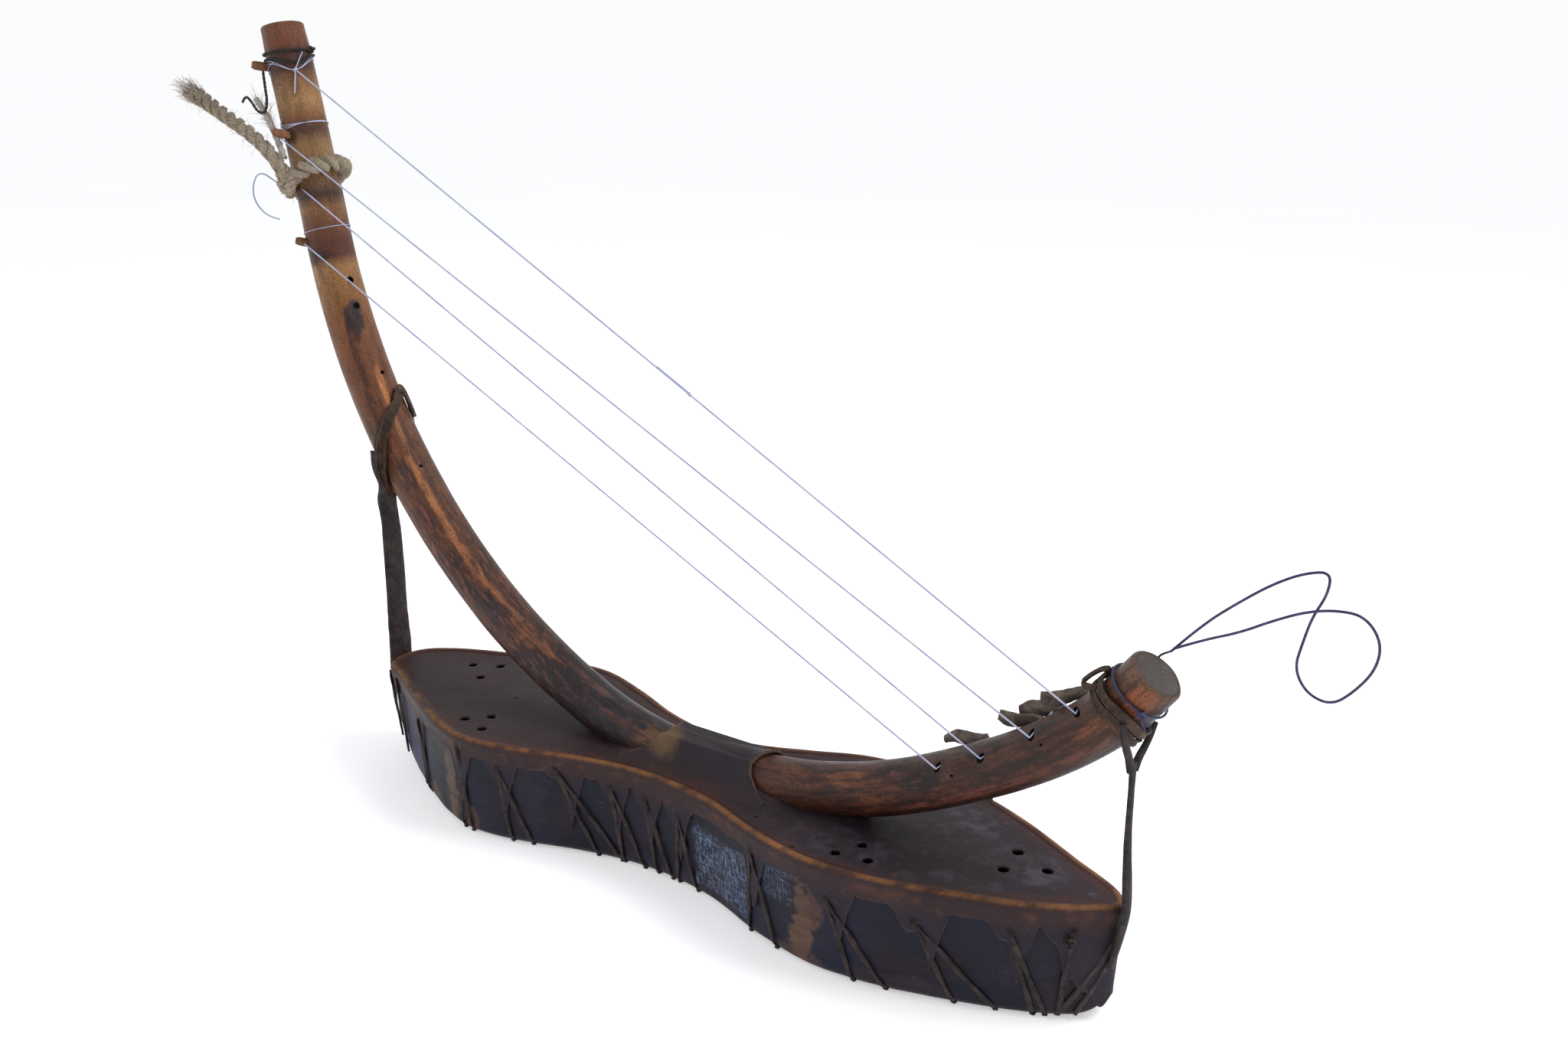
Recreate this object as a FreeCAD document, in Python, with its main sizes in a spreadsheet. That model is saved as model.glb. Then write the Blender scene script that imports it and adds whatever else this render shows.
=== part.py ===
import FreeCAD, Part
import math
import os

# Arched (bow) harp: a bent stick is threaded under a strip of the hide that closes a
# boat-shaped, hollowed soundbox. Four strings run from the long arm of the bow, the neck,
# to the short arm. Millimetres. The origin is on the ground under the middle of the
# soundbox; +X runs along it to the short arm's side, +Z is up.

V = FreeCAD.Vector
doc = FreeCAD.newDocument("arched_harp")

# ---------------------------------------------------------------- driving dimensions
sheet = doc.addObject("Spreadsheet::Sheet", "dims")
DIMENSIONS = [
    ("body_length", 460),
    ("body_height", 56),
    ("wall_thickness", 7),
    ("floor_thickness", 8),
    ("wall_taper", 2),
    ("keel_radius", 14),
    ("prow_rise", 42),
    ("prow_run", 44),
    ("hide_thickness", 2),
    ("apron_depth", 13),
    ("strip_left", -26),
    ("strip_right", 44),
    ("sound_hole_diameter", 5.6),
    ("axis_hole_diameter", 3.2),
    ("running_gap", 0.05),
    ("bow_gap", 0.3),
    ("peg_diameter", 4.8),
    ("peg_tail", 8),
    ("peg_end_chamfer", 0.8),
    ("string_hole_diameter", 3),
    ("string_diameter", 0.9),
    ("rope_diameter", 7.6),
    ("thin_rope_diameter", 4),
    ("tie_cord_diameter", 1.6),
    ("wire_diameter", 1.2),
    ("strap_width", 15),
    ("strap_thickness", 2),
    ("tip_strap_width", 4.5),
    ("lace_width", 2.8),
    ("lace_thickness", 1),
    ("lace_top", 44.9),
    ("toggle_diameter", 6.5),
    ("toggle_hitch_share", 0.85),
    ("toggle_gap", 1.6),
    ("band_thickness", 2),
    ("wrap_width", 8),
    ("end_band_width", 6),
    ("strand_diameter", 2.6),
]
for row, (alias, value) in enumerate(DIMENSIONS, start=1):
    sheet.set(f"A{row}", alias)
    sheet.set(f"B{row}", str(value))
    sheet.setAlias(f"B{row}", alias)
doc.recompute()


def dim(alias):
    return float(sheet.get(alias))


# Half of the soundbox's rim seen from above, for a 460 mm body: the front side from the
# blunt left end to the pointed right tip, then the fuller rear side back again.
RIM_FRONT = [(-231, 7), (-227, -5), (-210, -14), (-177, -31), (-145, -46), (-119, -52),
             (-90, -47), (-60, -37), (-30, -29.5), (0, -28), (30, -32), (64, -43.5),
             (98, -50), (130, -47.5), (165, -38), (200, -25), (222, -12), (231, -3)]
RIM_REAR = [(226, 6), (200, 21), (165, 40), (130, 53), (98, 57), (70, 54), (42, 42),
            (14, 31), (-14, 28.5), (-45, 35), (-80, 49), (-115, 59), (-150, 55),
            (-185, 44), (-212, 32), (-227, 20)]

# The bow's centre line in the plane y = 0 and its diameter there, from the neck's top
# end, down under the hide strip and up to the end of the short arm.
BOW = [(-284, 420, 24), (-278.8, 398, 24.2), (-274, 377, 24.4), (-265, 335, 24.8), (-255, 287, 25.4),
       (-239, 240, 26.4), (-214, 193, 27), (-180, 148.5, 27), (-139, 110.5, 27),
       (-96, 83, 26.6), (-55, 65.5, 26), (-15, 57.5, 25.6), (26, 57.8, 25.8),
       (69, 62.8, 26.4), (113, 76, 27), (156, 97, 27), (192.4, 119.6, 26.8),
       (217.9, 141.5, 26.6), (237, 166, 26)]

# String: foot in the front of the short arm, top on or beside the neck.
STRINGS = [((143.5, -11, 99.8), (-263.5, -13.8, 304.2)),
           ((165, -11, 111.2), (-262.2, -13.2, 334.2)),
           ((187.5, -10.6, 127.6), (-268.8, -18.8, 361)),
           ((207.5, -10.4, 144.2), (-267.2, -6.6, 397))]

# Rolled toggles of leather that stop the strings behind the short arm, end to end.
TOGGLES = [((138.5, 11.5, 104.2), (155, 13.4, 108)), ((166.3, 8, 124.8), (182.3, 15.6, 121.8)),
           ((176, 8, 130.5), (191, 13.5, 133.5)), ((188, 3, 141.5), (203.5, 13.5, 143))]
# The first scrap's tongue, which hangs behind the short arm.
TOGGLE_TONGUE = [(152, 15.9, 103.4), (154, 16, 92), (158, 16.4, 75)]

# Tuning peg: where its axis crosses the bow's centre line, outward direction, reach.
PEGS = {"tuning_peg_top": ((-278.7, 0, 396), (-0.6, -0.78, 0.15), 21),
        "tuning_peg_upper": ((-270.2, 0, 360), (-0.05, -0.97, 0.2), 22),
        "tuning_peg_lower": ((-258, 0, 301), (-0.55, -0.8, 0.25), 19.5)}

# Holes punched through the hide, away from the bow's line.
SOUND_HOLES = [(-186, 20), (-171, 28), (-169, 9.5), (-135, -35.5), (-125, -25), (-118, -39),
               (107, -37), (114, -24), (123, -34), (176, 11), (177, -6), (194, 4)]
AXIS_HOLES = [(-131, 0)]

# Lacing: where each pair of strands leaves the apron and where the two reach the base.
LACES_FRONT = [(-176, -176, -170), (-123, -125, -118), (-97, -92, -80), (-65, -44, -30),
               (-34, -29, -16), (-13, -8, 2), (9, 6, 19), (65, 61, 80), (111, 124, 140),
               (152, 170, 188), (192, 203, 208), (216, 213, 212.5)]
LACES_REAR = [(-190, -186, -178), (-140, -150, -132), (-104, -112, -98), (-66, -72, -58),
              (-28, -36, -22), (4, -2, 12), (38, 34, 48), (78, 72, 88), (120, 112, 132),
              (160, 150, 170), (196, 188, 202)]

# Free cords and wires: routes chosen to lie as the real ones do.
ROPE_TAIL = [(-266, -19, 340.5), (-274, -23.5, 355), (-290, -24.5, 364.5), (-308, -24.5, 372),
             (-325, -23.5, 379), (-342, -21.5, 384.5)]
THIN_TAIL = [(-272.5, -15, 350.5), (-277, -14.5, 358.5), (-282.5, -13.5, 366.5),
             (-288.5, -12.5, 374), (-296, -12.5, 381)]
STRING_TAIL = [(-279.8, -16.2, 337.2), (-284.8, -15.5, 338.6), (-290.5, -16, 341.4),
               (-297, -16, 340.5), (-301.6, -16, 334), (-301.6, -16, 326.5),
               (-296.5, -15.5, 320.5), (-289.5, -15, 317.3), (-282.5, -14.5, 316.6)]
TIE_TAIL = [(-284.5, -14.5, 396), (-283.6, -15, 387.5), (-281.8, -15.5, 380),
            (-284.5, -16, 373.4), (-291, -16, 374.6), (-295.4, -16, 380.2),
            (-301, -15.5, 383), (-304.5, -15, 379.2)]
HANGING_WIRE = [(239, 8.5, 173.8), (250.5, 9, 188), (264, 9.5, 200.5), (276, 10, 210.5),
                (287, 10.5, 217), (296.6, 11, 219.4), (296.2, 11.5, 210), (291.5, 12, 199.5),
                (289, 12.5, 188), (287, 12.5, 176.5), (293, 12, 167.5), (303, 11, 165.5),
                (311, 10, 174), (317.6, 9, 185), (318.5, 8, 196.5), (311.5, 7.5, 205.8),
                (301, 7, 206), (290, 6.5, 203), (278, 6.5, 196.5), (266, 6.5, 188.8),
                (251.5, 7, 182), (240, 7.5, 175.3)]


# ---------------------------------------------------------------- helpers
def scaled(points):
    factor = dim("body_length") / 460.0
    return [V(x * factor, y, 0) for x, y in points]


def inset(points, amount):
    """Move each point of a closed outline inwards along the outline's normal."""
    moved = []
    count = len(points)
    for index, point in enumerate(points):
        ahead = points[(index + 1) % count]
        behind = points[index - 1]
        along = (ahead - behind).normalize()
        moved.append(point + V(-along.y, along.x, 0) * amount)
    return moved


def closed_spline(points):
    curve = Part.BSplineCurve()
    curve.interpolate(Points=points, PeriodicFlag=True)
    return curve


def origin_plane(body, role):
    for feature in body.Origin.OriginFeatures:
        if feature.Role == role:
            return feature
    raise RuntimeError(f"{body.Label} has no {role}")


def outline_sketch(body, name, points, height_expression):
    sketch = body.newObject("Sketcher::SketchObject", name)
    sketch.AttachmentSupport = [(origin_plane(body, "XY_Plane"), "")]
    sketch.MapMode = "FlatFace"
    sketch.addGeometry(closed_spline(points), False)
    sketch.setExpression("AttachmentOffset.Base.z", height_expression)
    return sketch


def new_body(name):
    body = doc.addObject("PartDesign::Body", name)
    body.Label = name
    return body


def primitive(kind, name, **expressions):
    made = doc.addObject(f"Part::{kind}", name)
    for prop, expression in expressions.items():
        made.setExpression(prop.replace("__", "."), expression)
    return made


def boolean(kind, name, first, second):
    made = doc.addObject(f"Part::{kind}", name)
    made.Base = first
    made.Tool = second
    made.Label = name
    return made


def compound(name, members):
    made = doc.addObject("Part::Compound", name)
    made.Links = members
    return made


def fused(name, members):
    made = doc.addObject("Part::MultiFuse", name)
    made.Shapes = members
    return made


def turned_to(direction):
    """Rotation that takes +Z to a direction."""
    return FreeCAD.Rotation(V(0, 0, 1), V(*direction))


def rod(name, radius_expression, start, end):
    """A round rod between two points, its length from them and its radius from the sheet."""
    axis = V(*end) - V(*start)
    made = primitive("Cylinder", name, Radius=radius_expression)
    made.Height = axis.Length
    made.Placement = FreeCAD.Placement(V(*start), turned_to(axis))
    return made


def bow_solid(name, extra_expression):
    """The bow's round stick, grown all over by an expression of the sheet."""
    rings = []
    for index, (x, z, diameter) in enumerate(BOW):
        behind = BOW[max(index - 1, 0)]
        ahead = BOW[min(index + 1, len(BOW) - 1)]
        tangent = V(ahead[0] - behind[0], 0, ahead[1] - behind[1])
        ring = primitive("Circle", f"{name}_ring", Radius=f"{diameter / 2} + {extra_expression}")
        ring.Placement = FreeCAD.Placement(V(x, 0, z), turned_to(tangent))
        rings.append(ring)
    made = doc.addObject("Part::Loft", name)
    made.Sections = rings
    made.Solid = True
    made.Ruled = False
    made.Closed = False
    return made


def bow_line():
    """Smooth centre line through the bow's stations, as the loft follows it."""
    curve = Part.BSplineCurve()
    curve.interpolate([V(x, 0, z) for x, z, _ in BOW])
    return curve


def bow_at(height, side):
    """Centre, tangent and radius of the bow where its centre line has a height."""
    curve = bow_line()
    low = curve.parameter(V(0, 0, 57))
    high = curve.FirstParameter if side == "neck" else curve.LastParameter
    for _ in range(40):
        middle = (low + high) / 2
        if curve.value(middle).z < height:
            low = middle
        else:
            high = middle
    centre = curve.value(low)
    tangent = V(*curve.tangent(low)[0]).normalize()
    stations = [s for s in BOW if (s[0] < 0) == (side == "neck")]
    near = sorted(stations, key=lambda s: abs(s[1] - height))[:2]
    return centre, tangent, max(s[2] for s in near) / 2


def tube_path(points):
    """Straight runs joined by tangent arcs, each as large as its two runs allow."""
    route = [V(*p) for p in points]
    edges = []
    radii = []
    start = route[0]
    for before, corner, after in zip(route[:-2], route[1:-1], route[2:]):
        run_in = corner - before
        run_out = after - corner
        way_in = V(run_in).normalize()
        way_out = V(run_out).normalize()
        half_turn = way_in.getAngle(way_out) / 2
        trim = 0.45 * min(run_in.Length, run_out.Length)
        radii.append(trim / math.tan(half_turn))
        arc_start = corner - way_in * trim
        arc_end = corner + way_out * trim
        bisector = (way_out - way_in).normalize()
        centre = corner + bisector * (radii[-1] / math.cos(half_turn))
        middle = centre - bisector * radii[-1]
        edges.append(Part.LineSegment(start, arc_start).toShape())
        edges.append(Part.Arc(arc_start, middle, arc_end).toShape())
        start = arc_end
    edges.append(Part.LineSegment(start, route[-1]).toShape())
    return Part.Wire(edges), radii


def cord_tube(name, points, diameter_alias):
    """A plain round tube along a route, its volume compared with section times length."""
    wire, radii = tube_path(points)
    radius = dim(diameter_alias) / 2
    start = V(*points[0])
    section = Part.Wire([Part.Circle(start, V(*points[1]) - start, radius).toShape()])
    made = doc.addObject("Part::Feature", name)
    made.Shape = wire.makePipeShell([section], True, False)
    made.Label = name
    expected = math.pi * radius ** 2 * wire.Length
    print(f"{name}: length {wire.Length:.1f}, smallest radius {min(radii):.1f},",
          f"diameter {2 * radius:.1f}, volume ratio {made.Shape.Volume / expected:.4f}")
    return made


nodes = {}

# ---------------------------------------------------------------- soundbox
rim = scaled(RIM_FRONT + RIM_REAR)
base_outline = inset(rim, dim("wall_taper"))

soundbox_body = new_body("soundbox_block")
base_sketch = outline_sketch(soundbox_body, "base_outline", base_outline, "0 mm")
rim_sketch = outline_sketch(soundbox_body, "rim_outline", rim, "dims.body_height")
walls = soundbox_body.newObject("PartDesign::AdditiveLoft", "hull_loft")
walls.Profile = base_sketch
walls.Sections = [rim_sketch]
walls.Ruled = False
doc.recompute()

# The hollow stops short of both ends, where the wood stays solid.
hollow_rim = [V(p.x * 0.93, p.y, 0) for p in inset(rim, dim("wall_thickness"))]
hollow_sketch = outline_sketch(soundbox_body, "hollow_outline", hollow_rim, "dims.body_height")
hollow = soundbox_body.newObject("PartDesign::Pocket", "hollow")
hollow.Profile = hollow_sketch
hollow.setExpression("Length", "dims.body_height - dims.floor_thickness")
soundbox_body.Tip = hollow
doc.recompute()

# The underside rises to both ends: a long prow on the left, a small round on the right.
def end_cutter(name, tip_x, run_expression, rise_expression, sign):
    """Wedge with a curved face that rounds an end's underside off."""
    run = dim(run_expression)
    rise = dim(rise_expression)
    outer = tip_x + sign * 10
    foot = V(tip_x - sign * run, -100, 0)
    top = V(tip_x + sign * 0.5, -100, rise)
    knee = V(tip_x - sign * run * 0.22, -100, rise * 0.24)
    arc = Part.Arc(foot, knee, top).toShape()
    corner_top = V(outer, -100, rise)
    corner_low = V(outer, -100, -5)
    corner_foot = V(foot.x, -100, -5)
    edges = [arc, Part.LineSegment(top, corner_top).toShape(),
             Part.LineSegment(corner_top, corner_low).toShape(),
             Part.LineSegment(corner_low, corner_foot).toShape(),
             Part.LineSegment(corner_foot, foot).toShape()]
    made = doc.addObject("Part::Feature", name)
    made.Shape = Part.Face(Part.Wire(edges)).extrude(V(0, 200, 0))
    return made


left_tip = min(p.x for p in rim)
right_tip = max(p.x for p in rim)
end_cutters = compound("end_cutters", [
    end_cutter("prow_cutter", left_tip, "prow_run", "prow_rise", -1),
    end_cutter("stern_cutter", right_tip, "keel_radius", "keel_radius", 1)])
hull = boolean("Cut", "hull", soundbox_body, end_cutters)


# ---------------------------------------------------------------- lacing
def nearest_width(outline, x, side):
    """Half width of the outline at x, on the front (-1) or rear (+1) side."""
    flank = [p for p in outline if p.y * side > 0 or abs(p.x) > 215]
    flank.sort(key=lambda p: p.x)
    for low, high in zip(flank[:-1], flank[1:]):
        if low.x <= x <= high.x:
            return low.y + (x - low.x) / (high.x - low.x) * (high.y - low.y)
    return 0


def slanted_slab(name, top_x, foot_x, side):
    """Plank through one wall, leaning from the apron hole to the base."""
    lean = V(top_x - foot_x, 0, dim("lace_top"))
    slab = primitive("Box", name, Length="dims.lace_width")
    slab.Width = 75
    slab.Height = lean.Length + 6
    turn = FreeCAD.Rotation(V(0, 0, 1), lean)
    offset = turn.multVec(V(-dim("lace_width") / 2, 0, 0))
    start_y = -75 if side < 0 else 0
    slab.Placement = FreeCAD.Placement(V(foot_x, start_y, 0) + offset, turn)
    return slab


outer_rim = inset(rim, -dim("lace_thickness"))
outer_base = inset(base_outline, -dim("lace_thickness"))
shell_body = new_body("lacing_shell")
shell_base = outline_sketch(shell_body, "shell_base", outer_base, "0 mm")
shell_rim = outline_sketch(shell_body, "shell_rim", outer_rim, "dims.body_height")
shell_walls = shell_body.newObject("PartDesign::AdditiveLoft", "shell_loft")
shell_walls.Profile = shell_base
shell_walls.Sections = [shell_rim]
doc.recompute()
solid_sketches = [outline_sketch(shell_body, "core_base", base_outline, "0 mm"),
                  outline_sketch(shell_body, "core_rim", rim, "dims.body_height")]
shell_core = shell_body.newObject("PartDesign::SubtractiveLoft", "shell_core")
shell_core.Profile = solid_sketches[0]
shell_core.Sections = [solid_sketches[1]]
shell_body.Tip = shell_core
doc.recompute()

# The shell only reaches from the ground to just under the apron's holes.
shell_cap = primitive("Box", "shell_cap", Height="dims.lace_top")
shell_cap.Length = 600
shell_cap.Width = 200
shell_cap.Placement.Base = V(-300, -100, 0)
shell_band = boolean("Common", "shell_band", shell_body, shell_cap)
shell_open = boolean("Cut", "shell_open", shell_band, end_cutters)

for label, laces, side in (("lacing_front", LACES_FRONT, -1), ("lacing_rear", LACES_REAR, 1)):
    slabs = []
    for top_x, *feet in laces:
        for foot_x in feet:
            slabs.append(slanted_slab(f"{label}_slab", top_x, foot_x, side))
    planks = fused(f"{label}_planks", slabs)
    nodes[label] = boolean("Common", label, shell_open, planks)

# Under the base the strands cross from side to side, let into the wood.
base_strips = []
for front, rear in zip(LACES_FRONT[1:-1], LACES_REAR[1:]):
    for front_x, rear_x in ((front[1], rear[2]), (front[2], rear[1])):
        start = V(front_x, nearest_width(base_outline, front_x, -1), 0)
        end = V(rear_x, nearest_width(base_outline, rear_x, 1), 0)
        across = end - start
        strip = primitive("Box", "base_strip", Width="dims.lace_width",
                          Height="dims.lace_thickness")
        strip.Length = across.Length
        turn = FreeCAD.Rotation(V(1, 0, 0), across)
        strip.Placement = FreeCAD.Placement(start, turn)
        base_strips.append(strip)
base_planks = fused("base_planks", base_strips)
nodes["lacing_base"] = boolean("Common", "lacing_base", base_planks, hull)
nodes["soundbox"] = boolean("Cut", "soundbox", hull, base_planks)

# ---------------------------------------------------------------- bow and hide
stick = bow_solid("stick", "0")
stick_room = bow_solid("stick_room", "dims.bow_gap")
stick_cover = bow_solid("stick_cover", "dims.bow_gap + dims.hide_thickness")

hide_body = new_body("hide_blank")
hide_sketch = outline_sketch(hide_body, "hide_outline", inset(rim, -dim("hide_thickness")),
                             "dims.body_height - dims.apron_depth + dims.hide_thickness")
skirt = hide_body.newObject("PartDesign::Pad", "skirt")
skirt.Profile = hide_sketch
skirt.setExpression("Length", "dims.apron_depth")
doc.recompute()
under_sketch = outline_sketch(hide_body, "under_outline", rim, "dims.body_height")
under = hide_body.newObject("PartDesign::Pocket", "under")
under.Profile = under_sketch
under.setExpression("Length", "dims.apron_depth")
hide_body.Tip = under
doc.recompute()

strip_box = primitive("Box", "strip_box", Length="dims.strip_right - dims.strip_left",
                      Placement__Base__x="dims.strip_left",
                      Placement__Base__z="dims.body_height")
strip_box.Width = 60
strip_box.Height = 50
strip_box.Placement.Base.y = -30
strip_arch = boolean("Common", "strip_arch", stick_cover, strip_box)
hide_arched = boolean("Fuse", "hide_arched", hide_body, strip_arch)
hide_threaded = boolean("Cut", "hide_threaded", hide_arched, stick_room)
punches = []
for places, diameter in ((SOUND_HOLES, "sound_hole"), (AXIS_HOLES, "axis_hole")):
    for x, y in places:
        punch = primitive("Cylinder", "punch", Radius=f"dims.{diameter}_diameter / 2")
        punch.Height = 20
        punch.Placement.Base = V(x, y, dim("body_height") - 8)
        punches.append(punch)
nodes["hide_soundboard"] = boolean("Cut", "hide_soundboard", hide_threaded,
                                   compound("punches", punches))

# ---------------------------------------------------------------- pegs and strings
drills = []
for name, (centre, direction, reach) in PEGS.items():
    outward = V(*direction).normalize()
    inner = V(*centre) - outward * dim("peg_tail")
    peg = rod(f"{name}_rod", "dims.peg_diameter / 2", inner, V(*centre) + outward * reach)
    trimmed = doc.addObject("Part::Chamfer", name)
    trimmed.Base = peg
    doc.recompute()
    ends = [index for index, edge in enumerate(peg.Shape.Edges, start=1)
            if isinstance(edge.Curve, Part.Circle)]
    cut_back = dim("peg_end_chamfer")
    trimmed.Edges = [(index, cut_back, cut_back) for index in ends]
    trimmed.Label = name
    nodes[name] = trimmed
    drills.append(rod(f"{name}_drill", "dims.peg_diameter / 2 + dims.running_gap",
                      inner - outward * 0.5, V(*centre) + outward * 40))

for number, ends in enumerate(STRINGS, start=1):
    foot, top = (V(*p) for p in ends)
    toggle_start, toggle_end = (V(*p) for p in TOGGLES[number - 1])
    hitch = toggle_start + (toggle_end - toggle_start) * dim("toggle_hitch_share")
    through = hitch - foot
    shorter = through.Length - dim("toggle_diameter") / 2 - dim("toggle_gap")
    inwards = through.normalize()
    drills.append(rod("string_drill", "dims.string_hole_diameter / 2",
                      foot - inwards * 12, foot + inwards * 60))
    # The taut span and the short run through the arm meet at the foot as two pieces.
    span = rod("string_span", "dims.string_diameter / 2", top, foot)
    run_in = rod("string_run_in", "dims.string_diameter / 2",
                 foot + inwards * dim("string_diameter"), foot + inwards * shorter)
    nodes[f"string_{number}"] = compound(f"string_{number}", [span, run_in])
    nodes[f"string_toggle_{number}"] = rod(f"string_toggle_{number}", "dims.toggle_diameter / 2",
                                           toggle_start, toggle_end)
nodes["bow"] = boolean("Cut", "bow", stick, compound("drills", drills))

# Turns of string round the neck beside their pegs.
WINDINGS = {"string_winding_top": ((391, 0.04), (389.4, 0.02)),
            "string_winding_upper": ((368.6, 0.14), (370.2, 0.16), (372, 0.19)),
            "string_winding_lower": ((311, 0.05),)}


def ring_on_bow(name, height, side, lean, wire_alias):
    """Torus that lies on the bow, leaning by an angle's tangent from square."""
    centre, tangent, radius = bow_at(height, side)
    normal = tangent + V(-tangent.z, 0, tangent.x) * lean
    ring = primitive("Torus", name, Radius2=f"dims.{wire_alias} / 2")
    gap = dim("bow_gap")
    ring.Radius1 = (radius + gap) * math.hypot(1, lean) + dim(wire_alias) / 2
    ring.Placement = FreeCAD.Placement(centre, turned_to(normal))
    return ring


for name, turns in WINDINGS.items():
    rings = [ring_on_bow(f"{name}_turn", height, "neck", lean, "string_diameter")
             for height, lean in turns]
    nodes[name] = compound(name, rings) if len(rings) > 1 else rings[0]


# ---------------------------------------------------------------- straps
def band_on_bow(name, centre, normal, width_expression, thickness_expression):
    """Flat band round the bow: the bow grown, cut to a slab square to a normal."""
    grown = bow_solid(f"{name}_grown", f"dims.bow_gap + {thickness_expression}")
    slab = primitive("Box", f"{name}_slab", Height=width_expression)
    slab.Length = 70
    slab.Width = 70
    turn = turned_to(normal)
    shift = turn.multVec(V(-35, -35, -0.5 * slab_height(width_expression)))
    slab.Placement = FreeCAD.Placement(V(*centre) + shift, turn)
    return boolean("Cut", name, boolean("Common", f"{name}_ring", grown, slab), stick_room)


def slab_height(width_expression):
    return dim(width_expression.replace("dims.", ""))


def flat_strip(name, points, across, width_alias, thickness_alias):
    """Flat strap along straight runs; its width lies along a fixed direction."""
    side = V(*across).normalize() * (dim(width_alias) / 2)
    route = [V(*p) for p in points]
    thick = dim(thickness_alias)
    faces = []
    for low, high in zip(route[:-1], route[1:]):
        normal = side.cross(high - low).normalize() * (thick / 2)
        corners = [low - side - normal, low + side - normal, low + side + normal, low - side + normal]
        face = Part.Face(Part.makePolygon(corners + [corners[0]]))
        faces.append(face.extrude(high - low))
    solid = faces[0]
    for joint, piece in zip(route[1:-1], faces[1:]):
        solid = solid.fuse(piece)
        axis = V(side).normalize()
        solid = solid.fuse(Part.makeCylinder(thick / 2, 2 * side.Length, joint - side, axis))
    made = doc.addObject("Part::Feature", name)
    made.Shape = solid.removeSplitter()
    return made


# The first scrap's tongue hangs down behind the arm.
nodes["toggle_tongue"] = flat_strip("toggle_tongue", TOGGLE_TONGUE, (1, 0.1, 0.1),
                                    "tip_strap_width", "band_thickness")

# Left strap: lies on the blunt left end and rises to the neck's outer side.
nodes["left_strap"] = flat_strip(
    "left_strap", [(-234.4, 6, 34), (-234.4, 6, 59), (-226.5, -1, 178)],
    (0.1, 0.99, 0), "strap_width", "strap_thickness")
wrap_centre, wrap_tangent, _ = bow_at(204, "neck")
wrap_normal = wrap_tangent + V(-wrap_tangent.z, 0, wrap_tangent.x) * -1.2
nodes["left_strap_wrap"] = band_on_bow("left_strap_wrap", wrap_centre, wrap_normal,
                                       "dims.wrap_width", "dims.band_thickness")

# Right strap: from the pointed tip to the short arm, forked into two strands at the top.
tip_strap = flat_strip(
    "tip_strap", [(234.3, -7, 12), (234.3, -5, 58), (232, -3.5, 92), (231.5, -3, 124)],
    (0.25, 0.97, 0), "tip_strap_width", "band_thickness")
front_strand = rod("front_strand", "dims.strand_diameter / 2",
                   (231.5, -4, 123), (230.5, -13.6, 141))
rear_strand = rod("rear_strand", "dims.strand_diameter / 2", (231.5, -2, 123), (234, 9, 139))
nodes["right_strap"] = fused("right_strap", [tip_strap, front_strand, rear_strand])
band_centre = (227, 0, 152)
band_normal = (40, 0, 43)
nodes["right_strap_wrap"] = band_on_bow("right_strap_wrap", band_centre, band_normal,
                                        "dims.end_band_width", "dims.band_thickness")

# ---------------------------------------------------------------- cords
nodes["neck_rope_ring"] = ring_on_bow("neck_rope_ring", 342, "neck", 0.22, "rope_diameter")
nodes["neck_rope_tail"] = cord_tube("neck_rope_tail", ROPE_TAIL, "rope_diameter")
nodes["neck_thin_tail"] = cord_tube("neck_thin_tail", THIN_TAIL, "thin_rope_diameter")
nodes["string_tail"] = cord_tube("string_tail", STRING_TAIL, "string_diameter")
nodes["tie_cord_tail"] = cord_tube("tie_cord_tail", TIE_TAIL, "tie_cord_diameter")
nodes["hanging_wire"] = cord_tube("hanging_wire", HANGING_WIRE, "wire_diameter")

tie_rings = [ring_on_bow("tie_turn", height, "neck", lean, "tie_cord_diameter")
             for height, lean in ((405.6, 0.05), (402.9, -0.06))]
nodes["neck_tie_cord"] = compound("neck_tie_cord", tie_rings)
nodes["wire_ring"] = ring_on_bow("wire_ring", 156.8, "arm", 0, "wire_diameter")
knot = primitive("Sphere", "wire_knot", Radius="dims.wire_diameter * 2")
knot.Placement.Base = V(244.2, -6.5, 147)
nodes["wire_knot"] = knot
lace_knot = primitive("Sphere", "lace_knot", Radius="dims.lace_width")
lace_knot.Placement.Base = V(216.5, -20.4, 42)
nodes["lace_knot"] = lace_knot

# ---------------------------------------------------------------- export
doc.recompute()
for feature in doc.Objects:
    if "Invalid" in feature.State or "Error" in feature.State:
        raise RuntimeError(f"{feature.Name} failed: {feature.getStatusString()}")
os.makedirs("parts", exist_ok=True)
for old in os.listdir("parts"):
    os.remove(os.path.join("parts", old))
for name, node in nodes.items():
    node.Label = name
    shape = node.Shape
    if shape.isNull() or not shape.isValid() or not shape.Solids:
        raise RuntimeError(f"{name} has no valid solid: {shape.ShapeType}, {len(shape.Solids)}")
    shape.exportStep(os.path.join("parts", f"{name}.step"))
print(f"{len(nodes)} nodes written")
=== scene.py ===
"""Looks of an arched harp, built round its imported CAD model.

Blender works in metres. Tables and lengths along the bow are in millimetres where a comment says so,
and MM turns them into metres. Random draws are seeded, so each run gives the same result.
"""
import math

import bpy
import numpy as np
from mathutils import Matrix, Vector, noise
from mathutils.kdtree import KDTree


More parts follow.
